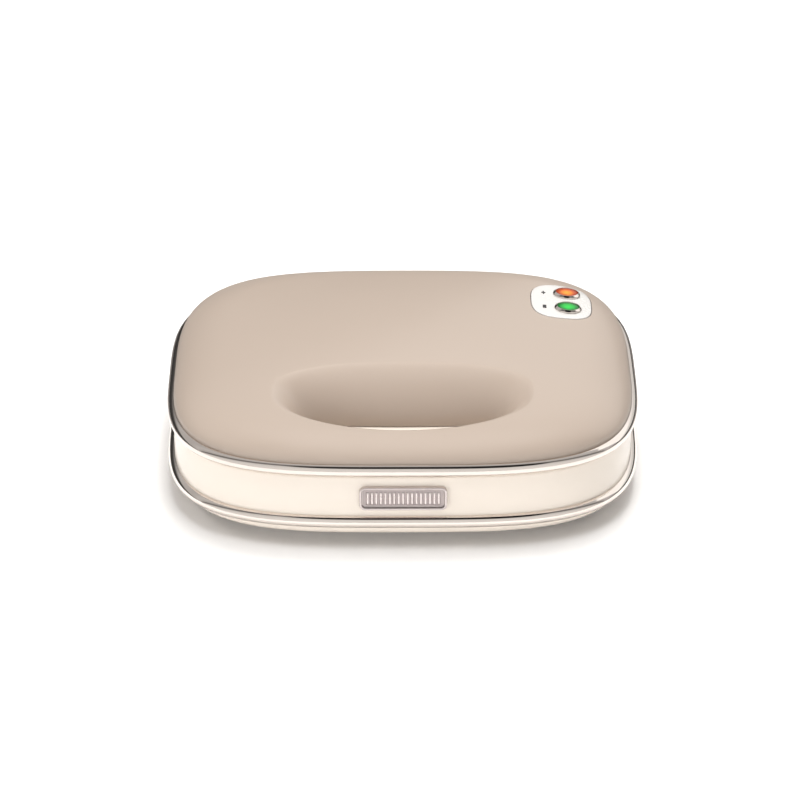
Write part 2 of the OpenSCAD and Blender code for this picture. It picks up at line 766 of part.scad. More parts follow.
// The arm climbs from its eye over the trim and enters the lid through a slot
module hinge_arm(side) {
    arm_top = arm_bottom + arm_t;
    color(taupe) centred() translate([side * hinge_spacing / 2, 0, 0]) difference() {
        rotate([90, 0, 90]) translate([0, 0, -arm_w / 2]) difference() {
            union() {
                translate([hinge_y, hinge_z, 0]) cylinder(r = eye_r, h = arm_w, $fn = fine);
                linear_extrude(arm_w) polygon([
                    [hinge_y - eye_r, hinge_z], [hinge_y - eye_r, arm_bottom],
                    [shell_b - arm_plate_l, arm_bottom], [shell_b - arm_plate_l, arm_top],
                    [shell_b + arm_lap, arm_top], [hinge_y - arm_neck_run, hinge_z + eye_r + arm_neck_rise],
                    [hinge_y + eye_r * cos(arm_turn), hinge_z + eye_r * sin(arm_turn)], [hinge_y, hinge_z]]);
            }
            translate([hinge_y, hinge_z, -past])
                cylinder(r = pin_d / 2 + pin_run, h = arm_w + 2 * past, $fn = fine);
        }
        translate([0, arm_screw_y, arm_bottom - past])
            cylinder(r = screw_d / 2 + pin_hold, h = arm_t + 2 * past, $fn = fine);
    }
}

module arm_screw_places() {
    both_sides(hinge_spacing / 2) translate([0, arm_screw_y, underpan_z]) children();
}

module hinge_arm_screws() {
    color(steel) centred() arm_screw_places()
        translate([0, 0, head_recess]) screw(arm_bottom + arm_t - underpan_z - head_recess);
}

// ---------------------------------------------------------------- lid

// Position along the way from the lip down to the foot of the hand opening, steeper in front
function wall_ring(lip, foot, lip_heights, step) = [for (i = [0 : outline_points - 1])
    let(f = 90 * step / wall_steps, q = wall_roll - wall_roll_rear * sin(bearing(i, outline_points)),
        p = lerp(lip[i], foot[i], pow(sin(f), 2 / q)),
        z = lerp(lip_heights[i], opening_foot_z, 1 - pow(max(0, cos(f)), 2 / q)))
    [p[0], p[1], z]];

function dome_ring(outer, lip, inset, step) = [for (i = [0 : outline_points - 1])
    let(p = lerp(outer[i], lip[i], pow(step / dome_steps, dome_spread)))
    [p[0], p[1], lid_z(p[0], p[1], inset)]];

function lid_skin(inset) =
    let(outer = outline(inset), lip = lip_edge(inset), foot = foot_edge(inset),
        heights = [for (p = lip) lid_z(p[0], p[1], inset)])
    concat(
        [at_height(outer, lid_wall_bottom)],
        [for (k = [0 : dome_steps]) dome_ring(outer, lip, inset, k)],
        [for (k = [1 : wall_steps]) wall_ring(lip, foot, heights, k)]);

function reversed(list) = [for (k = [len(list) - 1 : -1 : 0]) list[k]];

// A post under the dome, as tall as the dome leaves room for at its outer edge
module lid_post(x, y, bottom) {
    reach = 1 + boss_d / 2 / norm([x, y]);
    top = lid_z(x * reach, y * reach, shell_wall) + 1;
    translate([x, y, bottom]) cylinder(d = boss_d, h = top - bottom, $fn = fine);
}

// Places of the underpan's screws, with the height at which each post in the lid begins
function underpan_screw_at() = concat(
    [for (side = [-1, 1]) [side * underpan_screw_front[0], underpan_screw_front[1], collar_top + seat]],
    [for (side = [-1, 1], y = ear_y) [side * ear_x, y, collar_top + plate_flange_t + 2 * seat]]);

module lid_shell() {
    color(taupe) centred() difference() {
        union() {
            ring_solid(concat(lid_skin(0), reversed(lid_skin(shell_wall))));
            for (p = underpan_screw_at()) lid_post(p[0], p[1], p[2]);
        }
        for (p = underpan_screw_at()) translate([p[0], p[1], p[2] - past])
            cylinder(r = screw_d / 2 + pin_hold, h = 6 + past, $fn = fine);
        both_sides(hinge_spacing / 2)
            translate([-arm_w / 2 - seat, shell_b - arm_plate_l, arm_bottom - seat])
            cube([arm_w + 2 * seat, arm_plate_l + past, arm_t + 2 * seat]);
        translate([0, 0, lid_edge_z]) linear_extrude(rim_h + dome_h + past) polygon(panel_outline(seat));
    }
}

module lid_underpan() {
    hole_grow = shell_wall + opening_air;
    color(taupe) centred() difference() {
        union() {
            difference() {
                translate([0, 0, underpan_z]) linear_extrude(underpan_t) polygon(outline(underpan_inset));
                translate([0, 0, underpan_z - past]) {
                    plate_window(underpan_t + 2 * past);
                    linear_extrude(underpan_t + 2 * past) polygon(foot_edge(hole_grow));
                }
            }
            for (p = underpan_screw_at()) translate([p[0], p[1], underpan_z])
                cylinder(d = ear_d, h = collar_top - underpan_z, $fn = fine);
            arm_screw_places() cylinder(d = ear_d, h = arm_bottom - seat - underpan_z, $fn = fine);
        }
        for (p = underpan_screw_at()) translate([p[0], p[1], underpan_z]) screw_hole(collar_top - underpan_z);
        arm_screw_places() screw_hole(arm_bottom - underpan_z);
    }
}

module screw_hole(depth) {
    translate([0, 0, -past]) cylinder(d = head_d + 0.6, h = head_recess + past, $fn = fine);
    cylinder(d = screw_d + 0.4, h = depth + past, $fn = fine);
}

module underpan_screws() {
    color(steel) centred() for (p = underpan_screw_at())
        translate([p[0], p[1], underpan_z + head_recess]) screw(p[2] - underpan_z - head_recess + thread_in);
}

// ---------------------------------------------------------------- indicators

function panel_outline(grow) = [for (i = [0 : panel_points - 1])
    let(p = superellipse_point(panel_half_w + grow, panel_half_d + grow, panel_power, bearing(i, panel_points)))
    [panel_x + p[0], panel_y + p[1]]];

function on_dome(points, rise) = [for (p = points) [p[0], p[1], lid_z(p[0], p[1]) + rise]];

function under_dome(points, drop) = [for (p = points) [p[0], p[1], lid_z(p[0], p[1], shell_wall) - drop]];

function shrink(points, share) = [for (p = points) lerp([panel_x, panel_y], p, share)];

// Slope of the dome at the middle of the panel
slope_step = 4;
panel_slope_x = (lid_z(panel_x + slope_step, panel_y) - lid_z(panel_x - slope_step, panel_y)) / (2 * slope_step);
panel_slope_y = (lid_z(panel_x, panel_y + slope_step) - lid_z(panel_x, panel_y - slope_step)) / (2 * slope_step);

// Stands things on the panel, upright to the dome
module on_panel(x, y) {
    translate([x, y, lid_z(x, y) + panel_proud])
        rotate([atan(panel_slope_y), -atan(panel_slope_x), 0]) children();
}

module lamp_place(side) {
    on_panel(lamp_x, panel_y + side * lamp_pitch / 2) children();
}

module indicator_panel() {
    lip = panel_outline(0);
    wide = panel_outline(panel_flange);
    rings = concat(
        [for (s = [0.35, 0.7, 1]) under_dome(shrink(wide, s), panel_air + panel_flange_t)],
        [under_dome(wide, panel_air), under_dome(lip, panel_air), on_dome(lip, panel_proud - 0.3)],
        [for (s = [0.97, 0.7, 0.35]) on_dome(shrink(lip, s), panel_proud)]);
    color(white) centred() difference() {
        union() {
            capped_solid(rings);
            for (y = [-board_post_y, board_post_y]) on_panel(panel_x, panel_y)
                translate([board_post_x, y, -board_drop])
                cylinder(d = 4, h = board_drop - shell_wall, $fn = fine);
        }
        for (side = [-1, 1]) lamp_place(side) translate([0, 0, -board_drop])
            cylinder(r = bezel_tube_r + seat, h = board_drop + 3, $fn = fine);
    }
}

// Two small raised signs left of the lamps: a plus and a bar
module panel_marks() {
    color(dark) centred() {
        on_panel(mark_x, panel_y + lamp_pitch / 2) translate([0, 0, seat]) {
            translate([-plus_w / 2, -plus_bar / 2, 0]) cube([plus_w, plus_bar, mark_t]);
            translate([-plus_post / 2, -mark_l / 2, 0]) cube([plus_post, mark_l, mark_t]);
        }
        on_panel(mark_x, panel_y - lamp_pitch / 2) translate([-block_w / 2, -mark_l / 2, seat])
            cube([block_w, mark_l, mark_t]);
    }
}

module bezel(side) {
    lens_r = lens_d / 2;
    color(chrome) centred() lamp_place(side) rotate_extrude($fn = fine) polygon([
        [lens_r + seat, -4.5], [bezel_tube_r, -4.5], [bezel_tube_r, 0.5], [bezel_r, 0.5], [bezel_r, 0.8],
        [bezel_r - 0.8, bezel_h - 0.15], [bezel_r - 1.1, bezel_h], [lens_r + seat, bezel_h - 0.3]]);
}

module lens(side, tint) {
    lens_r = lens_d / 2;
    color(tint) centred() lamp_place(side) rotate_extrude($fn = fine) polygon([
        [2.6, -4], [lens_r, -4], [lens_r, bezel_h - 0.9], [lens_r - 1.4, bezel_h - 0.3],
        [lens_r - 3.4, bezel_h], [0, bezel_h + 0.1], [0, bezel_h - 1.4], [2.6, bezel_h - 1.4]]);
}

module neon_lamp(side) {
    color([0.9, 0.8, 0.7]) centred() lamp_place(side) translate([0, 0, -board_drop + seat])
        cylinder(d = 4.6, h = board_drop + bezel_h - 2, $fn = fine);
}

module indicator_board() {
    color([0.2, 0.42, 0.25]) centred() on_panel(panel_x, panel_y)
        translate([0.5 - board_w / 2, -board_l / 2, -board_drop - seat - board_t])
        cube([board_w, board_l, board_t]);
}

base_shell();
base_trim_ring();
bottom_cover();
foot(-1, -1);  // foot_front_left
foot(1, -1);  // foot_front_right
foot(-1, 1);  // foot_rear_left
foot(1, 1);  // foot_rear_right
cover_screws();
cord_bush();
cord_clamp();
clamp_screws();
terminal_block();
badge_frame();
badge_plate();
lower_grill_plate();
lower_element();
lower_reflector();
lower_thermostat();
lower_plate_screws();
hinge_pin(-1);  // hinge_pin_left
hinge_pin(1);  // hinge_pin_right
lid_shell();
lid_trim_ring();
lid_underpan();
underpan_screws();
upper_grill_plate();
upper_element();
upper_reflector();
upper_thermostat();
upper_plate_screws();
hinge_arm(-1);  // hinge_arm_left
hinge_arm(1);  // hinge_arm_right
hinge_arm_screws();
indicator_panel();
panel_marks();
bezel(1);  // power_bezel
bezel(-1);  // ready_bezel
lens(1, [0.93, 0.38, 0.10]);  // power_lens
lens(-1, [0.10, 0.62, 0.24]);  // ready_lens
neon_lamp(1);  // power_lamp
neon_lamp(-1);  // ready_lamp
indicator_board();
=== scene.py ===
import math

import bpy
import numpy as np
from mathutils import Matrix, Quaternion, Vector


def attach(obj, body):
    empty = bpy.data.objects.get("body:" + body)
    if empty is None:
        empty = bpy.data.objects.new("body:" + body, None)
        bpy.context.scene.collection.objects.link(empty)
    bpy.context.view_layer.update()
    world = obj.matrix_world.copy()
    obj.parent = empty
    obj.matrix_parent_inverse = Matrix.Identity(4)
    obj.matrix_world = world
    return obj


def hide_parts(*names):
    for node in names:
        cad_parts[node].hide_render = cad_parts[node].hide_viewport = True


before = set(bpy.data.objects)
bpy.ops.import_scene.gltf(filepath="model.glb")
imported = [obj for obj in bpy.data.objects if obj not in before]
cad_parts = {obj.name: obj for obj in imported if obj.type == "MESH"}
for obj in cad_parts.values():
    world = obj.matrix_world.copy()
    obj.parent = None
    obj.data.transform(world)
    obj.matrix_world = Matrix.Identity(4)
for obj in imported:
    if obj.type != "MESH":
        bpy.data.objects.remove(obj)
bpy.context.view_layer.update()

# %% [markdown]
# # A slim sandwich toaster
# The toaster is a shallow cream base with a domed taupe lid hinged behind it. A chrome trim runs round each
# half, a hand opening is moulded into the front of the lid, and two signal lamps stand in a white panel.
# The lines above open the packed model. Its pieces carry the motion, and the pieces made below are dressed
# over them.

# %% [markdown]
# ## The sizes the whole toaster hangs on
# Everything is worked out in millimetres from the middle of the case, with z up from the table, and turned
# into metres once, when a mesh is made. The hinge sticks out behind, so the middle of the case sits a little
# in front of the middle of the box: MIDDLE_Y is that step. The side screws sit LUG_X and LUG_Y from the
# middle of the plates, the screws that hold the reflectors BOSS_X and BOSS_Y from it.

# %% Sizes in millimetres
MM = 0.001
MIDDLE_Y = -5.05
TRIM_PROUD, TRIM_H = 3.1, 6.4
SHELL_A, SHELL_B, CORNER = 116.9, 111.9, 3.5
WALL = 2.6
FOOT_H, COVER_TOP = 6.0, 11.3
BASE_TRIM_Z, LID_TRIM_Z = 14.5, 42.5
BAND_TOP, DECK_BOTTOM = 38.9, 36.3
LID_EDGE_Z, UNDERPAN_Z = 45.5, 39.7
LOWER_FACE, UPPER_FACE = 39.1, 39.5
PLATE_W, PLATE_D, PLATE_R, PLATE_Y = 196.0, 132.0, 16.0, 20.0
LUG_X, LUG_Y = 104.7, 26.4
BOSS_X, BOSS_Y = 32.0, 26.0
REAR_SCREW_Y, PILOT_R, POST_R = 98.9, 1.62, 4.0
HINGE_X, HINGE_Y, HINGE_Z, EYE_R = 50.0, 120.5, 41.0, 4.6
AROUND = 320
print("case", 2 * (SHELL_A + TRIM_PROUD), "x", 2 * (SHELL_B + TRIM_PROUD), "mm over the trims")

# %% [markdown]
# ## Curves
# The outline of the case is a superellipse: a curve between an ellipse and a rectangle, which is what gives
# such a case its soft corners. A rounded rectangle made of straight lines and arcs would show a break in
# every reflection where a line meets an arc. The bearings at which points are taken are drawn together
# towards the corners, where the curve turns fastest.

# %% Outlines as arrays
def bearings(count):
    """Bearings round an outline: t + 5 sin 4t in degrees, which crowds the points into the corners."""
    t = 360.0 * np.arange(count) / count
    return np.radians(t + 5 * np.sin(np.radians(4 * t)))


def superellipse(a, b, power, f):
    """Points where (|x| / a)^power + (|y| / b)^power = 1, seen from the middle at the bearings f."""
    r = ((np.abs(np.cos(f)) / a) ** power + (np.abs(np.sin(f)) / b) ** power) ** (-1 / power)
    return np.stack([r * np.cos(f), r * np.sin(f)], 1)


def signed_power(v, p):
    """v raised to p with its sign kept."""
    return np.sign(v) * np.abs(v) ** p


def rounded_box(w, d, r, steps=12, middle=(0, 0)):
    """A w by d rectangle with corner arcs of radius r, anticlockwise from the right-hand side."""
    f = np.radians(np.linspace(0, 90, steps + 1))
    parts = [np.stack([sx * (w / 2 - r) + r * np.cos(f + turn), sy * (d / 2 - r) + r * np.sin(f + turn)], 1)
             for sx, sy, turn in ((1, 1, 0), (-1, 1, math.pi / 2), (-1, -1, math.pi), (1, -1, 1.5 * math.pi))]
    return np.concatenate(parts) + np.array(middle)


def case_outline(inset, f):
    """The outline of the shells, drawn in by an inset."""
    return superellipse(SHELL_A - inset, SHELL_B - inset, CORNER, f)


def at_z(points, z):
    """A flat curve lifted to a height, or to one height for each point."""
    return np.column_stack([points, np.broadcast_to(z, len(points))])


round_f = bearings(AROUND)
print("case outline, mm:", np.ptp(case_outline(0.0, round_f), axis=0).round(1), "in", AROUND, "points")

# %% [markdown]
# ## From curves to closed meshes
# A shape here is a stack of rings with the same number of points. A tube joins the last ring back to the
# first, so a thick shell comes out closed with an inside and an outside. A drum is closed by a face at each
# end. Index arithmetic on whole arrays makes the faces, and a signed volume tells which way they point, so
# that no shape ends up inside out.

# %% Rings to faces
def ring_faces(count, rows):
    """Quads between neighbouring rings: point i of ring k joins i + 1 and ring k + 1."""
    k, i = np.meshgrid(np.arange(rows - 1), np.arange(count), indexing="ij")
    here, beside = k * count + i, k * count + (i + 1) % count
    return np.stack([here, beside, beside + count, here + count], -1).reshape(-1, 4)


def outward(points, faces):
    """Turns the faces round when the volume they enclose, a sum of tetrahedra, is negative."""
    volume = 0.0
    for group in faces:
        p = points[group]
        for k in range(1, group.shape[1] - 1):
            volume += np.einsum("ij,ij->i", p[:, 0], np.cross(p[:, k], p[:, k + 1])).sum()
    return points, (faces if volume > 0 else [group[:, ::-1] for group in faces])


def tube(rings):
    """A closed tube: every ring joined to the next and the last to the first."""
    count, rows = len(rings[0]), len(rings)
    faces = ring_faces(count, rows + 1) % (count * rows)
    return outward(np.concatenate(rings), [faces])


def drum(rings):
    """A stack of rings closed by one flat face at each end."""
    count, rows = len(rings[0]), len(rings)
    ends = np.array([np.arange(count)[::-1], (rows - 1) * count + np.arange(count)])
    return outward(np.concatenate(rings), [ring_faces(count, rows), ends])


def moved(solid, offset):
    """A solid carried to another place."""
    return solid[0] + np.array(offset, float), solid[1]


def turned(solid, matrix):
    """A solid turned by a 3 by 3 matrix."""
    return outward(solid[0] @ np.array(matrix, float).T, solid[1])


def unit_circle(count):
    """Points (cos f, sin f) at even steps round a circle."""
    f = 2 * np.pi * np.arange(count) / count
    return np.stack([np.cos(f), np.sin(f)], 1)


def lathe(profile, count=64):
    """A solid of revolution about z: each (radius, height) of the profile swept round as one ring."""
    return drum([at_z(max(r, 0.02) * unit_circle(count), z) for r, z in profile])


def collar(profile, count=64):
    """A hollow solid of revolution: the profile closes on itself."""
    return tube([at_z(r * unit_circle(count), z) for r, z in profile])


def prism(outline, low, high):
    """A flat outline carried straight up from one height to another."""
    return drum([at_z(outline, low), at_z(outline, high)])


def screw_post(height, place):
    """A hollow post with a pilot hole for a screw."""
    return moved(collar([(PILOT_R, 0), (POST_R, 0), (POST_R, height), (PILOT_R, height)], 32), place)


print("a drum of two rings of eight points:", [group.shape for group in prism(unit_circle(8), 0, 1)[1]])

# %% [markdown]
# ## From arrays to pieces
# One helper turns solids into a finished object: it puts the points into metres, marks the edges that should
# stay sharp under smooth shading, adds a small bevel where a moulded or machined edge needs one, hangs the
# piece on the body it rides on, hides the packed pieces it stands for and gives it its material.

# %% Making a piece
def mesh_of(name, solids):
    """One mesh from several closed solids, in metres in the frame's own place."""
    points, faces, start = [], [], 0
    for p, groups in solids:
        points.append(p)
        for group in groups:
            faces.extend((group + start).tolist())
        start += len(p)
    places = (np.concatenate(points) + np.array([0, MIDDLE_Y, 0])) * MM
    mesh = bpy.data.meshes.new(name)
    mesh.from_pydata(places.tolist(), [], faces)
    mesh.validate()
    return mesh


def shade(mesh, angle):
    """Smooth shading that breaks at edges sharper than the angle, in degrees."""
    mesh.shade_smooth()
    mesh.set_sharp_from_angle(angle=math.radians(angle))


def piece(name, solids, finish, stands_for, body, bevel=0.0, angle=35):
    """A finished object that rides on a body and stands for packed pieces."""
    mesh = mesh_of(name, solids)
    shade(mesh, angle)
    mesh.materials.append(finish)
    obj = bpy.data.objects.new(name, mesh)
    bpy.context.scene.collection.objects.link(obj)
    if bevel:
        edge = obj.modifiers.new("edge", "BEVEL")
        edge.width, edge.segments, edge.limit_method = bevel * MM, 3, "ANGLE"
        edge.angle_limit = math.radians(30)
        edge.harden_normals = True
    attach(obj, body)
    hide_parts(*stands_for)
    print(f"{name}: {len(mesh.vertices)} points, {len(mesh.polygons)} faces")
    return obj


def cut(obj, solids, angle=35):
    """Takes closed solids out of a piece with an exact boolean, applied at once."""
    tool = bpy.data.objects.new("cutter", mesh_of("cutter", solids))
    bpy.context.scene.collection.objects.link(tool)
    step = obj.modifiers.new("cut", "BOOLEAN")
    step.operation, step.solver, step.object = "DIFFERENCE", "EXACT", tool
    obj.modifiers.move(len(obj.modifiers) - 1, 0)
    others = [m for m in obj.modifiers if m != step]
    for m in others:
        m.show_viewport = False
    graph = bpy.context.evaluated_depsgraph_get()
    mesh = bpy.data.meshes.new_from_object(obj.evaluated_get(graph), depsgraph=graph)
    obj.modifiers.remove(step)
    for m in others:
        m.show_viewport = True
    obj.data = mesh
    shade(mesh, angle)
    bpy.data.objects.remove(tool)
    print(f"{obj.name}: cut, now {len(mesh.polygons)} faces")


# %% [markdown]
# ## Writing a material as sums
# A finish is made of nodes, and its patterns are arithmetic: some grain times a little, plus a base value. A
# small class wraps one number socket, and Python's own signs add the Math nodes, so that a finish reads like
# a formula. Everything else comes from one method that takes a node's type, its settings and its links. The
# finishes and the world share both.

# %% A socket that can be added and multiplied
class Amount:
    """One number socket of a node tree; + - * / and ** on it add Math nodes."""

    def __init__(self, owner, socket):
        self.owner, self.socket = owner, socket

    def _with(self, operation, first, second):
        """The outcome of one Math node."""
        node = self.owner.node("ShaderNodeMath", {"operation": operation}, {0: first, 1: second})
        return Amount(self.owner, node.outputs[0])

    def __add__(self, other): return self._with("ADD", self, other)
    def __radd__(self, other): return self._with("ADD", other, self)
    def __sub__(self, other): return self._with("SUBTRACT", self, other)
    def __rsub__(self, other): return self._with("SUBTRACT", other, self)
    def __mul__(self, other): return self._with("MULTIPLY", self, other)
    def __rmul__(self, other): return self._with("MULTIPLY", other, self)
    def __truediv__(self, other): return self._with("DIVIDE", self, other)
    def __rtruediv__(self, other): return self._with("DIVIDE", other, self)
    def __pow__(self, other): return self._with("POWER", self, other)

    def band(self, low, high):
        """0 below low, 1 above high, straight in between."""
        node = self.owner.node("ShaderNodeMapRange", {"clamp": True}, {
            "Value": self, "From Min": low, "From Max": high, "To Min": 0.0, "To Max": 1.0})
        return Amount(self.owner, node.outputs["Result"])


class Nodes:
    """A node tree that starts empty and is filled node by node."""

    def __init__(self, owner):
        owner.use_nodes = True
        self.tree = owner.node_tree
        self.tree.nodes.clear()

    def node(self, kind, settings=None, links=None):
        """Adds a node: its type, then its settings, then a value or a link for each named socket."""
        node = self.tree.nodes.new(kind)
        for key, value in (settings or {}).items():
            setattr(node, key, value)
        for key, value in (links or {}).items():
            self.plug(node.inputs[key], value)
        return node

    def plug(self, target, value):
        """Links a socket or an Amount, or sets a plain value."""
        if isinstance(value, Amount):
            value = value.socket
        if isinstance(value, bpy.types.NodeSocket):
            self.tree.links.new(value, target)
        elif isinstance(value, tuple) and len(value) == 3 and target.type == "RGBA":
            target.default_value = (*value, 1.0)
        else:
            target.default_value = value


print("an amount offers:", [name for name, value in vars(Amount).items() if callable(value)])

# %% [markdown]
# ## The base of every finish
# Each finish is one Principled shader with patterns on its sockets. The patterns read Object coordinates in
# metres, so a grain has the same size on every piece and stays on it when the lid moves. An image would need
# unwrapped pieces and would blur up close, while noise worked out from the place does neither.

# %% Patterns round one shader
class Finish(Nodes):
    """A procedural material round one Principled shader."""

    def __init__(self, name, **constants):
        self.material = bpy.data.materials.new(name)
        super().__init__(self.material)
        self.shader = self.node("ShaderNodeBsdfPrincipled", {}, constants)
        self.output = self.node("ShaderNodeOutputMaterial", {}, {"Surface": self.shader.outputs[0]})
        self.place = self.node("ShaderNodeTexCoord").outputs["Object"]

    def noise(self, scale, detail=2.0, roughness=0.5, stretch=(1, 1, 1)):
        """Soft noise between 0 and 1, in cells of 1 / scale metres, stretched along x, y and z."""
        spaced = self.node("ShaderNodeMapping", {}, {"Vector": self.place, "Scale": stretch})
        node = self.node("ShaderNodeTexNoise", {}, {
            "Vector": spaced.outputs[0], "Scale": scale, "Detail": detail, "Roughness": roughness})
        return Amount(self, node.outputs["Fac"])

    def cells(self, scale, feature="F1", output="Distance"):
        """Distance to the nearest cell point, or its random colour."""
        node = self.node("ShaderNodeTexVoronoi", {"feature": feature}, {"Vector": self.place, "Scale": scale})
        return node.outputs[output]

    def axes(self):
        """The three object coordinates in metres, as Amounts."""
        node = self.node("ShaderNodeSeparateXYZ", {}, {0: self.place})
        return [Amount(self, node.outputs[k]) for k in range(3)]

    def mix(self, share, first, second):
        """One colour turning into another."""
        node = self.node("ShaderNodeMix", {"data_type": "RGBA", "clamp_factor": True})
        for index, value in ((0, share), (6, first), (7, second)):
            self.plug(node.inputs[index], value)
        return node.outputs[2]

    def bump(self, height, strength, distance):
        """Feeds a relief, in metres at full height, to the shader's normal."""
        node = self.node("ShaderNodeBump", {}, {"Strength": strength, "Distance": distance, "Height": height})
        self.plug(self.shader.inputs["Normal"], node.outputs[0])

    def set(self, name, value):
        """Gives one of the shader's sockets a value or a link."""
        self.plug(self.shader.inputs[name], value)


print("a finish offers:", [name for name in vars(Finish) if not name.startswith("_")])

# %% [markdown]
# ## Moulded and lacquered finishes
# The base is a glossy cream moulding and the lid a warm taupe lacquer. Both real finishes show orange peel,
# a relief of a few microns with cells of about two millimetres, a slow drift of tone, and a gloss that is a
# little dulled where fingers rub. A coat layer over a softer base gives the depth of lacquer.

# %% Lacquered shells
def lacquer(name, light, deep, gloss):
    """Glossy paint: two close tones, orange peel and a gloss that wanders."""
    paint = Finish(name, **{"Coat Roughness": 0.18, "IOR": 1.48, "Specular IOR Level": 0.36})
    drift = paint.noise(9.0, 1.0)
    grain = paint.noise(2200.0, 1.0)
    paint.set("Base Color", paint.mix(drift * 0.8 + grain * 0.2, light, deep))
    rub = paint.noise(30.0, 2.0)
    paint.set("Roughness", gloss + rub * 0.06 + grain * 0.02)
    paint.set("Coat Weight", 0.36 - rub * 0.12)
    paint.bump(paint.noise(640.0, 1.0), 0.05, 0.00006)
    return paint.material


cream = lacquer("cream_enamel", (0.895, 0.822, 0.739), (0.870, 0.786, 0.696), 0.28)
taupe = lacquer("taupe_enamel", (0.453, 0.377, 0.321), (0.432, 0.354, 0.295), 0.34)
print("lacquers:", cream.name, taupe.name)

# %% [markdown]
# ## Metals
# Chrome is a mirror with a faint warm cast and very fine wiping hairs. Satin nickel is brushed along x, which
# is noise squeezed to long hairs, and on the badge plate its grooves are darkened with painted shade while
# the
# ribs stay bright: the shader tells the two apart by how far forward a point lies. Zinc-plated screws are
# duller, the heater tubes carry straw and blue heat tints, and aluminised sheet shows the flower-like spangle
# of its dip, which Voronoi cells copy well.

# %% Metal finishes
def metal(name, colour, dark_colour, rough, hair_scale, stretch, relief, haze=30.0):
    """Bare metal: hairs along one direction, hazy patches and a base roughness."""
    bare = Finish(name, Metallic=1.0)
    hairs = bare.noise(hair_scale, 3.0, 0.6, stretch)
    patches = bare.noise(haze, 3.0).band(0.4, 0.75)
    bare.set("Base Color", bare.mix(patches * 0.5 + hairs * 0.3, colour, dark_colour))
    bare.set("Roughness", rough + hairs.band(0.35, 0.8) * rough * 0.8 + patches * rough * 0.5)
    bare.bump(hairs, relief, 0.00003)
    return bare.material


chrome = metal("chrome", (0.86, 0.79, 0.735), (0.80, 0.73, 0.68), 0.06, 700.0, (1, 1, 0.08), 0.012)
nickel = metal("satin_nickel", (0.70, 0.63, 0.615), (0.60, 0.54, 0.525), 0.24, 900.0, (0.06, 1, 1), 0.25,
               90.0)
zinc = metal("zinc_steel", (0.60, 0.60, 0.61), (0.44, 0.44, 0.46), 0.24, 800.0, (1, 0.15, 1), 0.25, 160.0)


def nickel_with_painted_groove_shade():
    """Nickel with painted shade in the grooves, bright and smoother on the ribs in front of them."""
    plate = Finish("badge_nickel", Metallic=1.0)
    _, y, _ = plate.axes()
    # The grooves get a darker colour as painted shade; the ribs in front keep the bright nickel.
    rib_tops = (y * -1.0).band(0.11800, 0.11838)
    hairs = plate.noise(900.0, 3.0, 0.6, (0.06, 1, 1))
    plate.set("Base Color", plate.mix(rib_tops, (0.44, 0.385, 0.38), (0.80, 0.735, 0.72)))
    plate.set("Roughness", 0.36 - rib_tops * 0.12 + hairs * 0.06)
    plate.bump(hairs, 0.15, 0.00003)
    return plate.material


def heater_tube():
    """A sheathed heater: grey metal with straw and blue heat tints in bands."""
    sheath = Finish("element_steel", Metallic=1.0)
    tint = sheath.noise(26.0, 2.0)
    straw = sheath.mix(tint.band(0.38, 0.55), (0.40, 0.37, 0.33), (0.42, 0.31, 0.18))
    sheath.set("Base Color", sheath.mix(tint.band(0.56, 0.70), straw, (0.20, 0.22, 0.30)))
    grain = sheath.noise(1400.0, 2.0)
    sheath.set("Roughness", 0.34 + grain * 0.2)
    sheath.bump(grain, 0.3, 0.00004)
    return sheath.material


def spangled_sheet():
    """Aluminised sheet: pale cells of differing brightness with thin borders."""
    sheet = Finish("aluminised_sheet", Metallic=1.0)
    shade_of = sheet.node("ShaderNodeSeparateColor", {}, {0: sheet.cells(260.0, output="Color")})
    flower = Amount(sheet, shade_of.outputs[0])
    sheet.set("Base Color", sheet.mix(flower, (0.78, 0.79, 0.80), (0.60, 0.61, 0.63)))
    rim = Amount(sheet, sheet.cells(260.0, "DISTANCE_TO_EDGE")).band(0.0, 0.12)
    sheet.set("Roughness", 0.24 + flower * 0.16)
    sheet.bump(rim, 0.15, 0.00003)
    return sheet.material


badge_nickel = nickel_with_painted_groove_shade()
heater = heater_tube()
spangle = spangled_sheet()
print("metals:", [m.name for m in (chrome, nickel, badge_nickel, zinc, heater, spangle)])

# %% [markdown]
# ## Coating, rubber and plastics
# The grill plates are cast and sprayed with a black non-stick coating, which is a fine speckle over a cast
# relief. Rubber is black with a powdery grain. The lamp panel is hard white plastic. Rubber and plastics
# differ only in tone, gloss and grain, so they share one function.

# %% Coating, rubber and plastics
def coated_casting():
    """Non-stick coating: black with grey mineral flecks over a cast relief."""
    coat = Finish("nonstick", **{"IOR": 1.45})
    fleck = coat.noise(2600.0, 1.0).band(0.66, 0.74)
    worn = coat.noise(45.0, 4.0, 0.6).band(0.5, 0.8)
    black = coat.mix(worn, (0.018, 0.018, 0.019), (0.030, 0.029, 0.028))
    coat.set("Base Color", coat.mix(fleck * 0.5, black, (0.16, 0.16, 0.165)))
    coat.set("Roughness", 0.40 + worn * 0.14 - fleck * 0.1)
    coat.bump(coat.noise(1100.0, 3.0, 0.6), 0.35, 0.00008)
    return coat.material


def plain_plastic(name, colour, second, rough, grain_scale, grain_depth, coat=0.0):
    """Moulded plastic or rubber: a fine grain, a second tone in patches."""
    part = Finish(name, **{"Coat Weight": coat, "Coat Roughness": 0.08})
    patches = part.noise(60.0, 3.0).band(0.4, 0.75)
    grain = part.noise(grain_scale, 2.0)
    part.set("Base Color", part.mix(patches, colour, second))
    part.set("Roughness", rough + grain * 0.1 + patches * 0.04)
    part.bump(grain, 0.4, grain_depth)
    return part.material


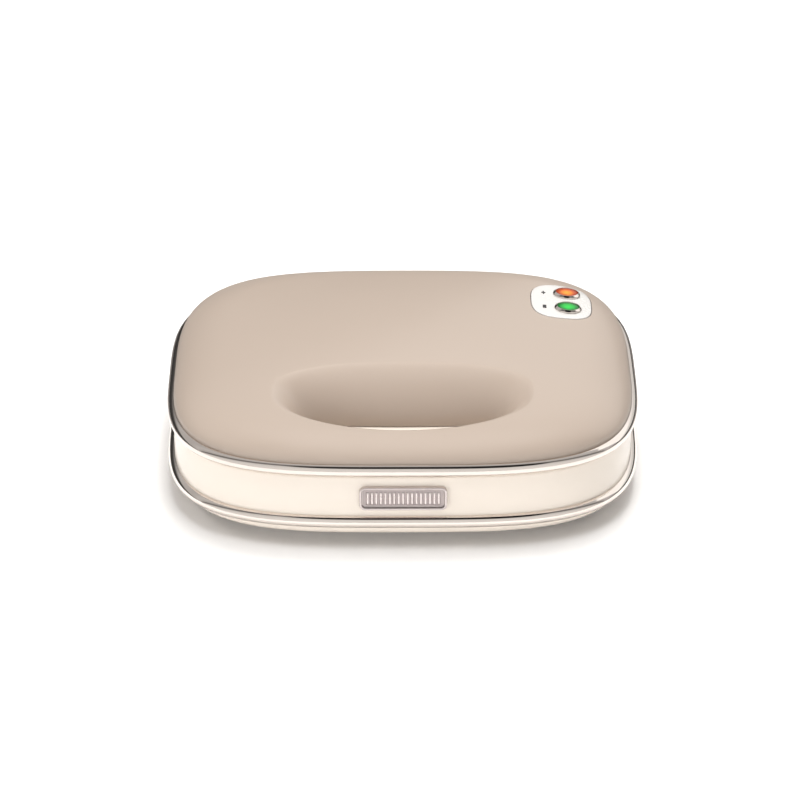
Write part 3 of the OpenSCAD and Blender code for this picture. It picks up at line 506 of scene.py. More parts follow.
nonstick = coated_casting()
rubber = plain_plastic("rubber", (0.022, 0.022, 0.023), (0.034, 0.033, 0.033), 0.62, 2400.0, 0.00005)
dark_plastic = plain_plastic("dark_plastic", (0.03, 0.03, 0.031), (0.045, 0.044, 0.044), 0.42, 1800.0,
                             0.00003)
white_plastic = plain_plastic("white_plastic", (0.72, 0.705, 0.685), (0.69, 0.675, 0.655), 0.2, 900.0,
                              0.000008, 0.4)
print("plastics:", [m.name for m in (nonstick, rubber, dark_plastic, white_plastic)])

# %% [markdown]
# ## Lamps and circuit board
# The two lenses are tinted plastic. They look bright where the lamp below gathers its light and deep at the
# edge, so their colour is worked out from the distance to the lens' own middle, and a little light is given
# off there. Real glass with a lamp inside would need many more samples to look the same. The neon lamps and
# their board are hidden, but they get their own finish, as everything in the toaster does.

# %% Lamp glass and circuit board
LENS_R = 5.7 * MM


def lens_glass(name, middle, glow, body, edge, hot, strength):
    """Tinted lens: a body colour, a deep edge and lamp light painted as a bright pool low in the middle."""
    glass = Finish(name, **{"Coat Weight": 0.12, "Coat Roughness": 0.04, "IOR": 1.45, "Roughness": 0.2,
                            "Specular IOR Level": 0.25, "Emission Strength": strength})
    x, y, _ = glass.axes()
    dx, dy = (x - middle[0]) / LENS_R, (y - middle[1]) / LENS_R
    spread = (dx * dx + dy * dy) ** 0.5
    low = (dx * dx + (dy + 0.25) * (dy + 0.25)) ** 0.5
    flutes = glass.noise(900.0, 1.0) * 0.16
    colour = glass.mix((spread + flutes).band(0.52, 1.0), body, edge)
    # The pool is lamp light painted into the base colour; the emission gives the same pool off as light.
    pool = 1.0 - (low + flutes).band(0.05, 0.75)
    glass.set("Base Color", glass.mix(pool * 0.8, colour, glow))
    glass.set("Emission Color", glass.mix(pool, tuple(0.25 * c for c in body), hot))
    glass.bump(glass.noise(1500.0, 1.0), 0.05, 0.00005)
    return glass.material


def lamp_bulb():
    """The little neon lamps: pale glass with a warm electrode glow."""
    bulb = Finish("lamp_glass", **{"Coat Weight": 1.0, "Roughness": 0.08})
    glow = bulb.noise(700.0, 1.0)
    bulb.set("Base Color", bulb.mix(glow, (0.85, 0.62, 0.42), (0.95, 0.80, 0.66)))
    bulb.bump(glow, 0.05, 0.00002)
    return bulb.material


def circuit_board():
    """Green board: woven glass under the mask and paler copper runs."""
    board = Finish("board", **{"Coat Weight": 0.6, "Coat Roughness": 0.12})
    weave = board.noise(1200.0, 1.0, 0.5, (1, 0.2, 1)) + board.noise(1200.0, 1.0, 0.5, (0.2, 1, 1))
    runs = board.noise(180.0, 0.0, 0.5, (1, 0.1, 1)).band(0.54, 0.57)
    mask = board.mix(weave.band(0.7, 1.3), (0.012, 0.085, 0.035), (0.018, 0.13, 0.05))
    board.set("Base Color", board.mix(runs, mask, (0.05, 0.24, 0.09)))
    board.set("Roughness", 0.35 + weave * 0.05)
    board.bump(runs, 0.3, 0.00004)
    return board.material


lamp_glass = lamp_bulb()
board_green = circuit_board()
print("lamp and board:", lamp_glass.name, board_green.name)

# %% [markdown]
# ## The lid
# The lid is one moulding: an upright skirt inside the trim, a rounded rim, a shallow dome, and a hand opening
# whose walls roll down and forward to a smaller foot. The foot's two sides swing back of its middle. The lid
# could be sculpted or built from subdivided boxes, but the reflections on a lacquered dome show every slip,
# so it is written as a height over the plan and sampled densely. Its underside is the same surface one wall
# thickness lower.

# %% Height of the lid over the plan
RIM_H, RIM_W, DOME_H = 11.5, 24.0, 9.9
DIP_H, DIP_W, DIP_D, DIP_Y = 3.6, 75.0, 30.0, -92.0
LIP_W, LIP_FRONT, LIP_REAR, LIP_Y = 66.0, 34.8, 26.0, -60.0
FOOT_W, FOOT_D, FOOT_Y, FOOT_BOW, FOOT_Z = 50.0, 14.0, -69.1, 3.0, 39.3
FRONT_POWER, REAR_POWER, FOOT_POWER = 2.2, 3.0, 4.0
SKIRT_FOOT, CROWD = 40.6, 2.2
WALL_ROLL, ROLL_SWING = 1.55, 0.15


def lid_height(x, y, inset=0.0):
    """Quarter-ellipse rim near the edge, plus a dome (1 - x2)(1 - y2), less a Gaussian dip over the grip."""
    a, b = SHELL_A - inset, SHELL_B - inset
    edge = (1 - ((np.abs(x) / a) ** CORNER + (np.abs(y) / b) ** CORNER) ** (1 / CORNER)) * (a + b) / 2
    rim = np.sqrt(1 - (1 - np.clip(edge / RIM_W, 0, 1)) ** 2)
    dip = np.exp(-(x / DIP_W) ** 2 - ((y - DIP_Y) / DIP_D) ** 2)
    dome = np.maximum(0, 1 - (x / SHELL_A) ** 2) * np.maximum(0, 1 - (y / SHELL_B) ** 2)
    return LID_EDGE_Z + (RIM_H - DIP_H * dip) * rim + DOME_H * dome - inset


def opening_edge(half_w, front, rear, middle, behind, f):
    """An edge of the hand opening: a superellipse with one power in front and another behind."""
    power = np.where(np.sin(f) > 0, behind, FRONT_POWER)
    depth = np.where(np.sin(f) > 0, rear, front)
    return np.stack([half_w * signed_power(np.cos(f), 2 / power),
                     middle + depth * signed_power(np.sin(f), 2 / power)], 1)


def foot_edge(grow, f):
    """Foot of the hand opening, with its sides swung back of its middle by a parabola."""
    p = opening_edge(FOOT_W + grow, FOOT_D + grow, FOOT_D + grow, FOOT_Y, FOOT_POWER, f)
    return p + np.stack([0 * f, FOOT_BOW * (p[:, 0] / FOOT_W) ** 2], 1)


def lid_rings(inset, f, skirt, dome, wall):
    """Rings over skirt, dome and wall; the wall goes in by sin(t)^(2/q) and down by 1 - cos(t)^(2/q)."""
    outer = case_outline(inset, f)
    lip = opening_edge(LIP_W + inset, LIP_FRONT + inset, LIP_REAR + inset, LIP_Y, REAR_POWER, f)
    foot = foot_edge(inset, f)
    edge_z = LID_EDGE_Z - inset
    rings = [at_z(outer, SKIRT_FOOT + (edge_z - SKIRT_FOOT) * k / skirt) for k in range(skirt)]
    for k in range(dome + 1):
        p = outer + (lip - outer) * (k / dome) ** CROWD
        rings.append(at_z(p, lid_height(p[:, 0], p[:, 1], inset)))
    lip_z = lid_height(lip[:, 0], lip[:, 1], inset)
    q = WALL_ROLL - ROLL_SWING * np.sin(f)
    for t in [math.radians(90 * k / wall) for k in range(1, wall + 1)]:
        share = (math.sin(t) ** (2 / q))[:, None]
        drop = 1 - max(0.0, math.cos(t)) ** (2 / q)
        rings.append(at_z(lip + (foot - lip) * share, lip_z + (FOOT_Z - lip_z) * drop))
    return rings


print("top of the dome, mm:", round(float(lid_height(0.0, 0.0)), 2))

# %% [markdown]
# ## Making the lid from its rings
# The outer and inner skins are joined at the foot of the skirt and at the foot of the hand opening, so the
# lid is one closed shell. The window for the lamp panel and the two slots for the hinge arms are cut out
# afterwards with a boolean, because their edges cross the rings at an angle.

# %% The lid shell
PANEL_X, PANEL_Y, PANEL_HALF_W, PANEL_HALF_D, PANEL_POWER = 83.3, 51.0, 15.8, 23.0, 3.0
ARM_W, ARM_BOTTOM, ARM_T, ARM_L = 18.0, 46.0, 3.0, 18.0


def panel_outline(grow, count=96):
    """Outline of the lamp panel on the plan."""
    return superellipse(PANEL_HALF_W + grow, PANEL_HALF_D + grow, PANEL_POWER,
                        bearings(count)) + np.array([PANEL_X, PANEL_Y])


def post_height(x, y, low):
    """Height of a post that runs 1 mm into the inner skin at its outer side."""
    reach = 1 + POST_R / math.hypot(x, y)
    return float(lid_height(np.array(x * reach), np.array(y * reach), WALL)) + 1 - low


side_screw_y = (PLATE_Y - LUG_Y, PLATE_Y + LUG_Y)
lid_posts = [(side * 77.9, -87.9, 42.6) for side in (-1, 1)] + [
    (side * LUG_X, y, 44.7) for side in (-1, 1) for y in side_screw_y]
skin = tube(lid_rings(0.0, round_f, 3, 64, 26) + lid_rings(WALL, round_f, 2, 30, 12)[::-1])
lid_shell = piece("lid_moulding", [skin], taupe, ["lid_shell"], "lid")
slot_d = ARM_L + 8
slots = [prism(rounded_box(ARM_W + 0.5, slot_d, 1.0, 4, (side * HINGE_X, SHELL_B - ARM_L + slot_d / 2)),
               ARM_BOTTOM - 0.25, ARM_BOTTOM + ARM_T + 0.25) for side in (-1, 1)]
cut(lid_shell, [prism(panel_outline(0.32), LID_EDGE_Z, 74.0)] + slots, 40)
piece("lid_screw_posts", [screw_post(post_height(*at), at) for at in lid_posts], taupe, ["lid_shell"],
      "lid", angle=40)

# %% [markdown]
# ## Chrome trims
# Each trim is a rolled bead with a thin flange that tucks under the shell. The bead is half an ellipse,
# carried round the outline of the case. Because the case and the bead are both smooth formulas, the long
# reflections along the chrome stay clean.

# %% The two trims
def trim(z):
    """A half-ellipse bead proud of the outline, closed by a flange 5 wide and 1.2 thick."""
    f = np.radians(np.linspace(-90, 90, 29))
    bead = [(-max(0.15, TRIM_PROUD * math.cos(t)), TRIM_H / 2 * math.sin(t)) for t in f]
    profile = bead + [(-0.15, 1.2 - TRIM_H / 2), (5.0, 1.2 - TRIM_H / 2), (5.0, -TRIM_H / 2)]
    return tube([at_z(case_outline(inset, round_f), z + dz) for inset, dz in profile])


piece("base_trim", [trim(BASE_TRIM_Z)], chrome, ["base_trim_ring"], "base", angle=30)
piece("lid_trim", [trim(LID_TRIM_Z)], chrome, ["lid_trim_ring"], "lid", angle=30)

# %% [markdown]
# ## The cream base
# The base is a band with a flat deck on top, and the lower grill plate sits in a window in the deck. The
# band's top edge is softly rounded. Outline and window are both rings of the same number of points, so one
# tube runs up the outside, across the deck, down the edge of the window and back along the inside.

# %% Band, deck and bosses
window_f = 2 * np.pi * np.arange(480) / 480


def window_ring(grow):
    """The plate window by rays from its middle: the nearer straight side, or the corner's circle."""
    a, b, r = PLATE_W / 2 + grow, PLATE_D / 2 + grow, PLATE_R + grow
    c, s = np.abs(np.cos(window_f)), np.abs(np.sin(window_f))
    straight = np.minimum(a / np.maximum(c, 1e-9), b / np.maximum(s, 1e-9))
    mx, my = a - r, b - r
    along = c * mx + s * my
    arc = along + np.sqrt(np.maximum(0.0, along ** 2 - (mx ** 2 + my ** 2 - r ** 2)))
    corner = (straight * c > mx) & (straight * s > my)
    reach = np.where(corner, arc, straight)
    return np.stack([reach * np.cos(window_f), reach * np.sin(window_f) + PLATE_Y], 1)


def seen_from_window(inset):
    """The case outline met by rays from the window's middle, found by halving the interval 45 times."""
    near, far = np.zeros(len(window_f)), np.full(len(window_f), 200.0)
    for _ in range(45):
        reach = (near + far) / 2
        x, y = reach * np.cos(window_f), reach * np.sin(window_f) + PLATE_Y
        inside = (np.abs(x) / (SHELL_A - inset)) ** CORNER + (np.abs(y) / (SHELL_B - inset)) ** CORNER < 1
        near, far = np.where(inside, reach, near), np.where(inside, far, reach)
    return np.stack([x, y], 1)


BAND_FOOT, EDGE_R = 12.6, 1.2
soft = [(EDGE_R * (1 - math.cos(t)), BAND_TOP - EDGE_R * (1 - math.sin(t)))
        for t in np.radians(np.linspace(0, 90, 7))]
side = [(0.0, BAND_FOOT), (0.0, 20.0), (0.0, 30.0)] + soft
window_edge = [(0.9, BAND_TOP), (0.6, BAND_TOP - 0.3), (0.5, BAND_TOP - 0.8), (0.5, DECK_BOTTOM)]
band_rings = [at_z(seen_from_window(inset), z) for inset, z in side]
band_rings += [at_z(window_ring(grow), z) for grow, z in window_edge]
band_rings += [at_z(seen_from_window(WALL), z) for z in (DECK_BOTTOM, BAND_FOOT)]
band = piece("base_moulding", [tube(band_rings)], cream, ["base_shell"], "base")
LIE_DOWN = [[1, 0, 0], [0, 0, 1], [0, -1, 0]]
CORD_Z, CORD_R = 25.0, 5.5
cut(band, [moved(turned(lathe([(CORD_R, -6), (CORD_R, 6)], 48), LIE_DOWN), (0, SHELL_B - 1, CORD_Z))])
cover_screws = [(side * x, y) for x, y in ((83.9, -85.9), (28.0, REAR_SCREW_Y)) for side in (-1, 1)]
piece("base_screw_posts", [screw_post(20.4, (x, y, 16.1)) for x, y in cover_screws], cream, ["base_shell"],
      "base", angle=40)

# %% [markdown]
# ## The underside
# A shallow pan closes the base. Its side rolls in to a flat floor, which has rows of vent slots, sunk
# screws and four rubber feet. Slots and screw wells are cut with one boolean. The feet are turned shapes:
# a foot is a profile swept round its own axis, with a stem that snaps through the pan.

# %% Bottom cover and feet
COVER_WALL, COVER_ROUND = 2.4, 5.0


def cover_solid():
    """A pan: a quarter-circle side, an open top edge and the same profile one wall thickness inside."""
    f = np.radians(np.linspace(0, 90, 13))
    side = [(1 + COVER_ROUND * (1 - math.sin(t)), FOOT_H + COVER_ROUND * (1 - math.cos(t))) for t in f]
    inner = COVER_ROUND - COVER_WALL
    back = [(1 + COVER_WALL + inner * (1 - math.sin(t)),
             FOOT_H + COVER_WALL + inner * (1 - math.cos(t))) for t in f[::-2]]
    profile = side + [(1.0, COVER_TOP - 0.1), (1 + COVER_WALL, COVER_TOP - 0.1)] + back
    return drum([at_z(case_outline(inset, round_f), z) for inset, z in profile])


vents = [prism(rounded_box(3.2, 28, 1.55, 6, (x, y)), FOOT_H - 1, FOOT_H + COVER_WALL + 1)
         for x in np.arange(-52.5, 53, 15) for y in (-28, 28)]
well = lathe([(3.7, -1), (3.7, 5), (2.0, 5), (2.0, 11)], 40)
wells = [moved(well, (x, y, FOOT_H)) for x, y in cover_screws]
posts = [moved(lathe([(5, 0), (5, 8.6)], 40), (x, y, FOOT_H + 1.2)) for x, y in cover_screws]
posts += [moved(lathe([(4, 0), (4, 26.7)], 40), (side * LUG_X, y, FOOT_H + 1.2))
          for side in (-1, 1) for y in side_screw_y]
cover = piece("bottom_pan", [cover_solid()], cream, ["bottom_cover"], "base")
cut(cover, vents + wells)
piece("cover_posts", posts, cream, ["bottom_cover"], "base", angle=40)
foot_profile = [(0, 0.3), (5.2, 0.0), (6.6, 0.0), (7.3, 0.25), (7.9, 0.9), (8.2, 1.8), (8.8, 4.6), (9.0, 5.5),
                (8.8, 5.9), (3.0, 5.9), (3.0, 8.5), (4.0, 8.5), (3.4, 9.8), (2.0, 10.8), (0, 10.8)]
for side_y, row in ((-1, "front"), (1, "rear")):
    for side_x, hand in ((-1, "left"), (1, "right")):
        piece(f"foot_{row}_{hand}_rubber", [moved(lathe(foot_profile, 56), (side_x * 80, side_y * 70, 0))],
              rubber, [f"foot_{row}_{hand}"], "base")

# %% [markdown]
# ## The badge
# A badge is a pressed frame with a rolled edge round a sunk plate. The plate here is plain reeding: upright
# ribs whose height is a steepened cosine, cut flat at crown and foot and faded out towards the frame. The
# frame is a small profile carried round a rounded rectangle, with the outward direction of each point taken
# from its neighbours.

# %% Badge frame and reeded plate
BADGE_W, BADGE_H, BADGE_T, BADGE_R, BADGE_RIM, BADGE_Z = 43.5, 12.5, 2.0, 2.4, 1.4, 27.7
PLAIN_W, PLAIN_H, REED_PITCH = BADGE_W - 2 * BADGE_RIM, BADGE_H - 2 * BADGE_RIM, 2.2
STAND_UP = [[1, 0, 0], [0, 0, -1], [0, 1, 0]]


def carried(path, profile):
    """A profile of (outward, height) pairs carried round a closed flat path."""
    along = np.roll(path, -1, 0) - np.roll(path, 1, 0)
    out = np.stack([along[:, 1], -along[:, 0]], 1) / np.linalg.norm(along, axis=1)[:, None]
    return tube([at_z(path + out * o, z) for o, z in profile])


badge_path = rounded_box(PLAIN_W, PLAIN_H, BADGE_R - 0.7, 10)
roll = [(0.72 - 0.66 * math.cos(t), BADGE_T - 0.55 * (1 - math.sin(t)))
        for t in np.radians(np.linspace(0, 180, 13))]
frame_ring = carried(badge_path, [(0.06, 0.0)] + roll + [(1.38, 0.0)])
BADGE_AT = (0, -SHELL_B - 0.1, BADGE_Z)
piece("badge_rim", [moved(turned(frame_ring, STAND_UP), BADGE_AT)], nickel, ["badge_frame"],
      "base", angle=50)


def reeded_plate(w, d, r, pitch):
    """A plate on a grid: floor + rib * (0.5 + 0.9 cos(2 pi x / pitch)) kept in 0..1, faded near the edge."""
    u, v = np.meshgrid(np.linspace(-1, 1, 281), np.linspace(-1, 1, 41), indexing="ij")
    x, y = round_corners(u, v, w, d, r)
    fade_x = np.clip((w / 2 - 1.5 - np.abs(x)) / 0.5, 0, 1)
    fade_y = np.clip((d / 2 - 1.3 - np.abs(y)) / 0.5, 0, 1)
    rib = np.clip(0.5 + 0.9 * np.cos(2 * np.pi * x / pitch), 0, 1) * fade_x * fade_y
    border = np.clip((np.maximum(np.abs(x) - w / 2, np.abs(y) - d / 2) + 0.55) / 0.3, 0, 1)
    return sheet_solid(x, y, 0.82 + 0.6 * rib + 0.25 * border, 0.0)


def round_corners(u, v, w, d, r):
    """Maps the square -1..1 onto a rounded rectangle: each corner square is pressed into a quarter disc."""
    x, y = u * w / 2, v * d / 2
    cx, cy = np.clip((np.abs(x) - (w / 2 - r)) / r, 0, 1), np.clip((np.abs(y) - (d / 2 - r)) / r, 0, 1)
    nx, ny = cx * np.sqrt(1 - cy ** 2 / 2), cy * np.sqrt(1 - cx ** 2 / 2)
    return x + np.sign(x) * r * (nx - cx), y + np.sign(y) * r * (ny - cy)


def sheet_solid(x, y, top, floor):
    """A closed slab over a grid of places: a shaped top face, a flat bottom face and a rim between them."""
    rows, cols = x.shape
    upper = np.stack([x, y, np.broadcast_to(top, x.shape)], -1).reshape(-1, 3)
    lower = np.stack([x, y, np.broadcast_to(floor, x.shape)], -1).reshape(-1, 3)
    k, i = np.meshgrid(np.arange(rows - 1), np.arange(cols - 1), indexing="ij")
    here = k * cols + i
    face = np.stack([here, here + cols, here + cols + 1, here + 1], -1).reshape(-1, 4)
    last = (rows - 1) * cols
    edge = np.concatenate([np.arange(cols), np.arange(1, rows) * cols + cols - 1,
                           last + np.arange(cols - 2, -1, -1), np.arange(rows - 2, 0, -1) * cols])
    after = np.roll(edge, -1)
    total = rows * cols
    rim = np.stack([edge, after, after + total, edge + total], 1)
    return outward(np.concatenate([upper, lower]), [face, face[:, ::-1] + total, rim])


plate = reeded_plate(PLAIN_W - 0.2, PLAIN_H - 0.2, BADGE_R - 0.7, REED_PITCH)
pegs = [moved(lathe([(1.5, -3.6), (1.5, 0.4)], 24), (side * 14, 0, 0)) for side in (-1, 1)]
piece("badge_reeding", [moved(turned(s, STAND_UP), BADGE_AT) for s in [plate] + pegs], badge_nickel,
      ["badge_plate"], "base", angle=40)

# %% [markdown]
# ## The lamp panel
# The white panel follows the dome and stands half a millimetre proud of it, with a soft edge. It is worked
# out as rings drawn in towards its middle, each laid on the lid's own height, so the gap to the lid is even
# all round. Two round holes take the lamp tubes.

# %% Panel, signs and board posts
PROUD, LAMP_X, LAMP_PITCH = 0.5, 86.5, 20.0


def on_lid(points, rise):
    """Points of the plan laid on the lid, a little above or below its surface."""
    return at_z(points, lid_height(points[:, 0], points[:, 1]) + rise)


def panel_solid():
    """Rings from the middle of the underside out to the flange, up the edge and in over the face."""
    middle = np.array([PANEL_X, PANEL_Y])
    edge, wide = panel_outline(0.0), panel_outline(1.8)
    under = [on_lid(middle + (wide - middle) * s, -WALL - 1.7) for s in (0.02, 0.4, 0.75, 1.0)]
    rings = under + [on_lid(wide, -WALL - 0.5), on_lid(edge, -WALL - 0.5), on_lid(edge, PROUD - 0.5)]
    for t in np.radians(np.linspace(15, 90, 6)):
        rings.append(on_lid(panel_outline(-0.5 * (1 - math.cos(t))), PROUD - 0.5 * (1 - math.sin(t))))
    face = panel_outline(-0.5)
    return drum(rings + [on_lid(middle + (face - middle) * s, PROUD) for s in np.linspace(0.94, 0.02, 22)])


def standing_on(x, y):
    """Turn and place of a thing that stands upright to the dome at a place of the plan."""
    dx = float(lid_height(PANEL_X + 4, PANEL_Y) - lid_height(PANEL_X - 4, PANEL_Y)) / 8
    dy = float(lid_height(PANEL_X, PANEL_Y + 4) - lid_height(PANEL_X, PANEL_Y - 4)) / 8
    turn = Matrix.Rotation(-math.atan(dx), 3, "Y") @ Matrix.Rotation(math.atan(dy), 3, "X")
    return np.array(turn), (x, y, float(lid_height(x, y)) + PROUD)


def stood(solid, x, y):
    """A solid stood on the panel."""
    turn, place = standing_on(x, y)
    return moved(turned(solid, turn), place)


lamp_y = {"power": PANEL_Y + LAMP_PITCH / 2, "ready": PANEL_Y - LAMP_PITCH / 2}
panel = piece("lamp_panel", [panel_solid()], white_plastic, ["indicator_panel"], "lid")
cut(panel, [stood(lathe([(6.3, -9), (6.3, 4)], 64), LAMP_X, y) for y in lamp_y.values()])
plus = np.array([(0.35, 0.45), (0.35, 1.9), (-0.35, 1.9), (-0.35, 0.45), (-1.1, 0.45), (-1.1, -0.45),
                 (-0.35, -0.45), (-0.35, -1.9), (0.35, -1.9), (0.35, -0.45), (1.1, -0.45), (1.1, 0.45)])
block = rounded_box(1.9, 3.8, 0.35, 4)
marks = [stood(prism(plus, 0.02, 0.28), PANEL_X - 9, lamp_y["power"]),
         stood(prism(block, 0.02, 0.28), PANEL_X - 9, lamp_y["ready"])]
piece("panel_signs", marks, dark_plastic, ["panel_marks"], "lid", bevel=0.06)

# %% [markdown]
# ## Signal lamps
# Each lamp is a flared chrome bezel round a domed lens. Both are turned shapes. The lens keeps a shallow
# step near its rim, which catches a ring of light, and lamp light is painted into its colour as a pool low in
# the middle.

# %% Bezels and lenses
bezel_profile = [(5.8, -4.5), (6.2, -4.5), (6.2, 0.1), (7.05, 0.1), (7.19, 0.22), (7.2, 0.42), (7.08, 0.66),
                 (6.8, 0.96), (6.5, 1.22), (6.3, 1.42), (6.18, 1.55), (6.04, 1.6), (5.9, 1.52), (5.82, 1.3)]
lens_profile = [(2.6, -4.0), (5.7, -4.0), (5.7, 0.95), (5.58, 1.12), (5.2, 1.22), (4.6, 1.33), (3.6, 1.49),
                (2.4, 1.62), (1.2, 1.68), (0.0, 1.7)]
lens_middle = {k: ((LAMP_X + 0.1) * MM, (y + MIDDLE_Y) * MM) for k, y in lamp_y.items()}
amber = lens_glass("amber_lens", lens_middle["power"], glow=(0.66, 0.33, 0.015), body=(0.62, 0.10, 0.006),
                   edge=(0.27, 0.025, 0.004), hot=(1.0, 0.42, 0.02), strength=0.25)
green = lens_glass("green_lens", lens_middle["ready"], glow=(0.006, 0.54, 0.045), body=(0.004, 0.36, 0.035),
                   edge=(0.002, 0.10, 0.015), hot=(0.008, 0.52, 0.04), strength=0.22)
for lamp, glass, slot_name in (("power", amber, "amber_lens"), ("ready", green, "green_lens")):
    y = lamp_y[lamp]
    piece(f"{lamp}_bezel_ring", [stood(collar(bezel_profile, 72), LAMP_X, y)], chrome, [f"{lamp}_bezel"],
          "lid")
    piece(f"{lamp}_lens_dome", [stood(lathe(lens_profile, 64), LAMP_X, y)], glass, [f"{lamp}_lens"],
          "lid", angle=50)

# %% [markdown]
# ## Grill plates
# The two plates are castings with a rounded pocket for each sandwich, seven ribs in each pocket and a ridge
# that parts and seals the two sandwiches. Cast edges are never sharp, so the pocket walls, the ribs and the
# ridge are smooth steps added into one height over a grid. The grid's columns are crowded at the ribs, which
# keeps them crisp with few points. The second plate is the first turned over.

# %% Pockets, ribs and ridge
LAND, POCKET, POCKET_R, RIBS, RIB_W, RIB_H, RIDGE = 6.0, 8.0, 13.0, 7, 3.2, 1.8, 5.0


def both_sides(half, steps):
    """Places that many steps inside half, on both sides of the middle."""
    return [side * (half - step) for side in (-1, 1) for step in steps]


def smooth(v):
    """3 v2 - 2 v3 between 0 and 1."""
    v = np.clip(v, 0, 1)
    return v * v * (3 - 2 * v)


def box_distance(x, y, w, d, r):
    """Distance inside a rounded rectangle, negative outside it."""
    qx, qy = np.abs(x) - (w / 2 - r), np.abs(y) - (d / 2 - r)
    return r - np.hypot(np.maximum(qx, 0), np.maximum(qy, 0)) - np.minimum(np.maximum(qx, qy), 0)


def grill_plate():
    """Depth of the face: pocket wall smooth(distance / 2.6), less ribs and ridge as smooth bumps."""
    pocket_w, pocket_d = PLATE_W - 2 * LAND, PLATE_D - 2 * LAND
    pitch = pocket_w / 2 / (RIBS + 1)
    ribs = [side * k * pitch for side in (-1, 1) for k in range(1, RIBS + 1)]
    near = np.array([-1.75, -1.5, -1.15, -0.7, 0, 0.7, 1.15, 1.5, 1.75])
    wall, rim = (-0.6, 0, 0.5, 1, 1.5, 2, 2.6, 3.4), (0, 0.25, 0.6, 1.1, 2, 3.5)
    ends = both_sides(pocket_d / 2 - POCKET_R, (2, 1.2, 0.6, 0, -0.6, -1.2))
    x = np.concatenate([near + r for r in ribs] + [near * 1.05, both_sides(pocket_w / 2, wall),
                                                   both_sides(PLATE_W / 2, rim)])
    y = np.concatenate([np.linspace(-48, 48, 25), ends, both_sides(pocket_d / 2, wall),
                        both_sides(PLATE_D / 2, rim)])
    x, y = np.meshgrid(np.unique(x.round(3)), np.unique(y.round(3)), indexing="ij")
    x, y = round_corners(2 * x / PLATE_W, 2 * y / PLATE_D, PLATE_W, PLATE_D, PLATE_R)
    depth = POCKET * smooth(box_distance(x, y, pocket_w, pocket_d, POCKET_R) / 2.6)
    rib_end = smooth((pocket_d / 2 - 11.5 - np.abs(y)) / 2.5)
    to_rib = np.min([np.abs(x - r) for r in ribs], axis=0)
    depth = np.minimum(depth, POCKET - RIB_H * smooth((RIB_W / 2 - to_rib) / 1.1) * rib_end)
    depth = np.minimum(depth, POCKET - RIDGE * smooth((RIB_W / 2 - np.abs(x)) / 1.0))
    to_edge = box_distance(x, y, PLATE_W, PLATE_D, PLATE_R)
    depth = depth + 0.5 * (1 - smooth(to_edge / 0.9)) ** 2
    return sheet_solid(x, y, depth, POCKET + 3.0)


def plate_lugs():
    """The flange behind the land, the four screw lugs and the four bosses for the reflector."""
    flange = tube([at_z(rounded_box(PLATE_W + g, PLATE_D + g, PLATE_R + g / 2), z)
                   for g, z in ((-0.4, 3.1), (6, 3.1), (6, 5.1), (-0.4, 5.1))])
    lug = collar([(2, 3.1), (4.8, 3.1), (4.8, 5.1), (2, 5.1)], 40)
    boss = lathe([(4, 10.8), (4, 17.9)], 32)
    corners = [(sx, sy) for sx in (-1, 1) for sy in (-1, 1)]
    return ([flange] + [moved(lug, (sx * LUG_X, sy * LUG_Y, 0)) for sx, sy in corners]
            + [moved(boss, (sx * BOSS_X, sy * BOSS_Y, 0)) for sx, sy in corners])


UP, DOWN = np.eye(3), np.diag([1.0, 1.0, -1.0])


def at_plate(solid, upper):
    """Carries plate coordinates, which grow away from the sandwich, to the upper or the lower plate."""
    return moved(turned(solid, UP if upper else DOWN), (0, PLATE_Y, UPPER_FACE if upper else LOWER_FACE))


plate_parts = [grill_plate()] + plate_lugs()
for body, name, upper in (("base", "lower", False), ("lid", "upper", True)):
    piece(f"{name}_grill_casting", [at_plate(s, upper) for s in plate_parts], nonstick,
          [f"{name}_grill_plate"], body, angle=50)

# %% [markdown]
# ## The hinge
# Two cheeks at each side of the base hold a pin, and an arm from the lid turns on it between them. Arms and
# cheeks are flat outlines with a round eye, carried sideways to their thickness and given a small bevel. The
# pin holes are cut, so the arm really turns on the pin.

# %% Cheeks, arms and pins
SIDEWAYS = [[0, 0, 1], [1, 0, 0], [0, 1, 0]]
CHEEK_X, CHEEK_T, PIN_R, PIN_HEAD = 9.4, 4.0, 2.0, 1.4


def eye_arc(start, stop):
    """Points round the hinge eye from one angle to another, in degrees."""
    f = np.radians(np.linspace(start, stop, 25))
    return np.stack([HINGE_Y + EYE_R * np.cos(f), HINGE_Z + EYE_R * np.sin(f)], 1)


def across(outline, left, right):
    """A side-view outline carried from one x to another."""
    return turned(prism(outline, left, right), SIDEWAYS)


def pin_hole(left, right, radius):
    """The cutter for a pin hole."""
    return across(radius * unit_circle(40) + np.array([HINGE_Y, HINGE_Z]), left, right)


cheek_outline = np.concatenate([[(106.3, 24.9), (106.3, 38.5), (HINGE_Y - EYE_R, 38.5)], eye_arc(180, 0),
                                [(125.1, 37.2), (124.2, 35.2), (113.9, 24.9)]])
cheek_left = [side * HINGE_X + k for side in (-1, 1) for k in (CHEEK_X, -CHEEK_X - CHEEK_T)]
cheeks = piece("hinge_cheeks", [across(cheek_outline, x, x + CHEEK_T) for x in cheek_left], cream,
               ["base_shell"], "base", bevel=0.5, angle=45)
cut(cheeks, [pin_hole(x - 1, x + CHEEK_T + 1, PIN_R + 0.02) for x in cheek_left], 45)
arm_top = ARM_BOTTOM + ARM_T
arm_outline = np.concatenate([[(115.9, ARM_BOTTOM), (93.9, ARM_BOTTOM), (93.9, arm_top), (112.5, arm_top),
                               (115.2, 48.2), (117.6, 47.1)], eye_arc(68, -180)])
pin_l = 2 * (CHEEK_X + CHEEK_T + 0.1)
head = [(0, -PIN_HEAD), (2.5, -PIN_HEAD), (3.1, -1.1), (3.2, -0.7), (3.2, 0.0), (PIN_R, 0.0)]
pin_profile = head + [(r, pin_l - z) for r, z in head[::-1]]
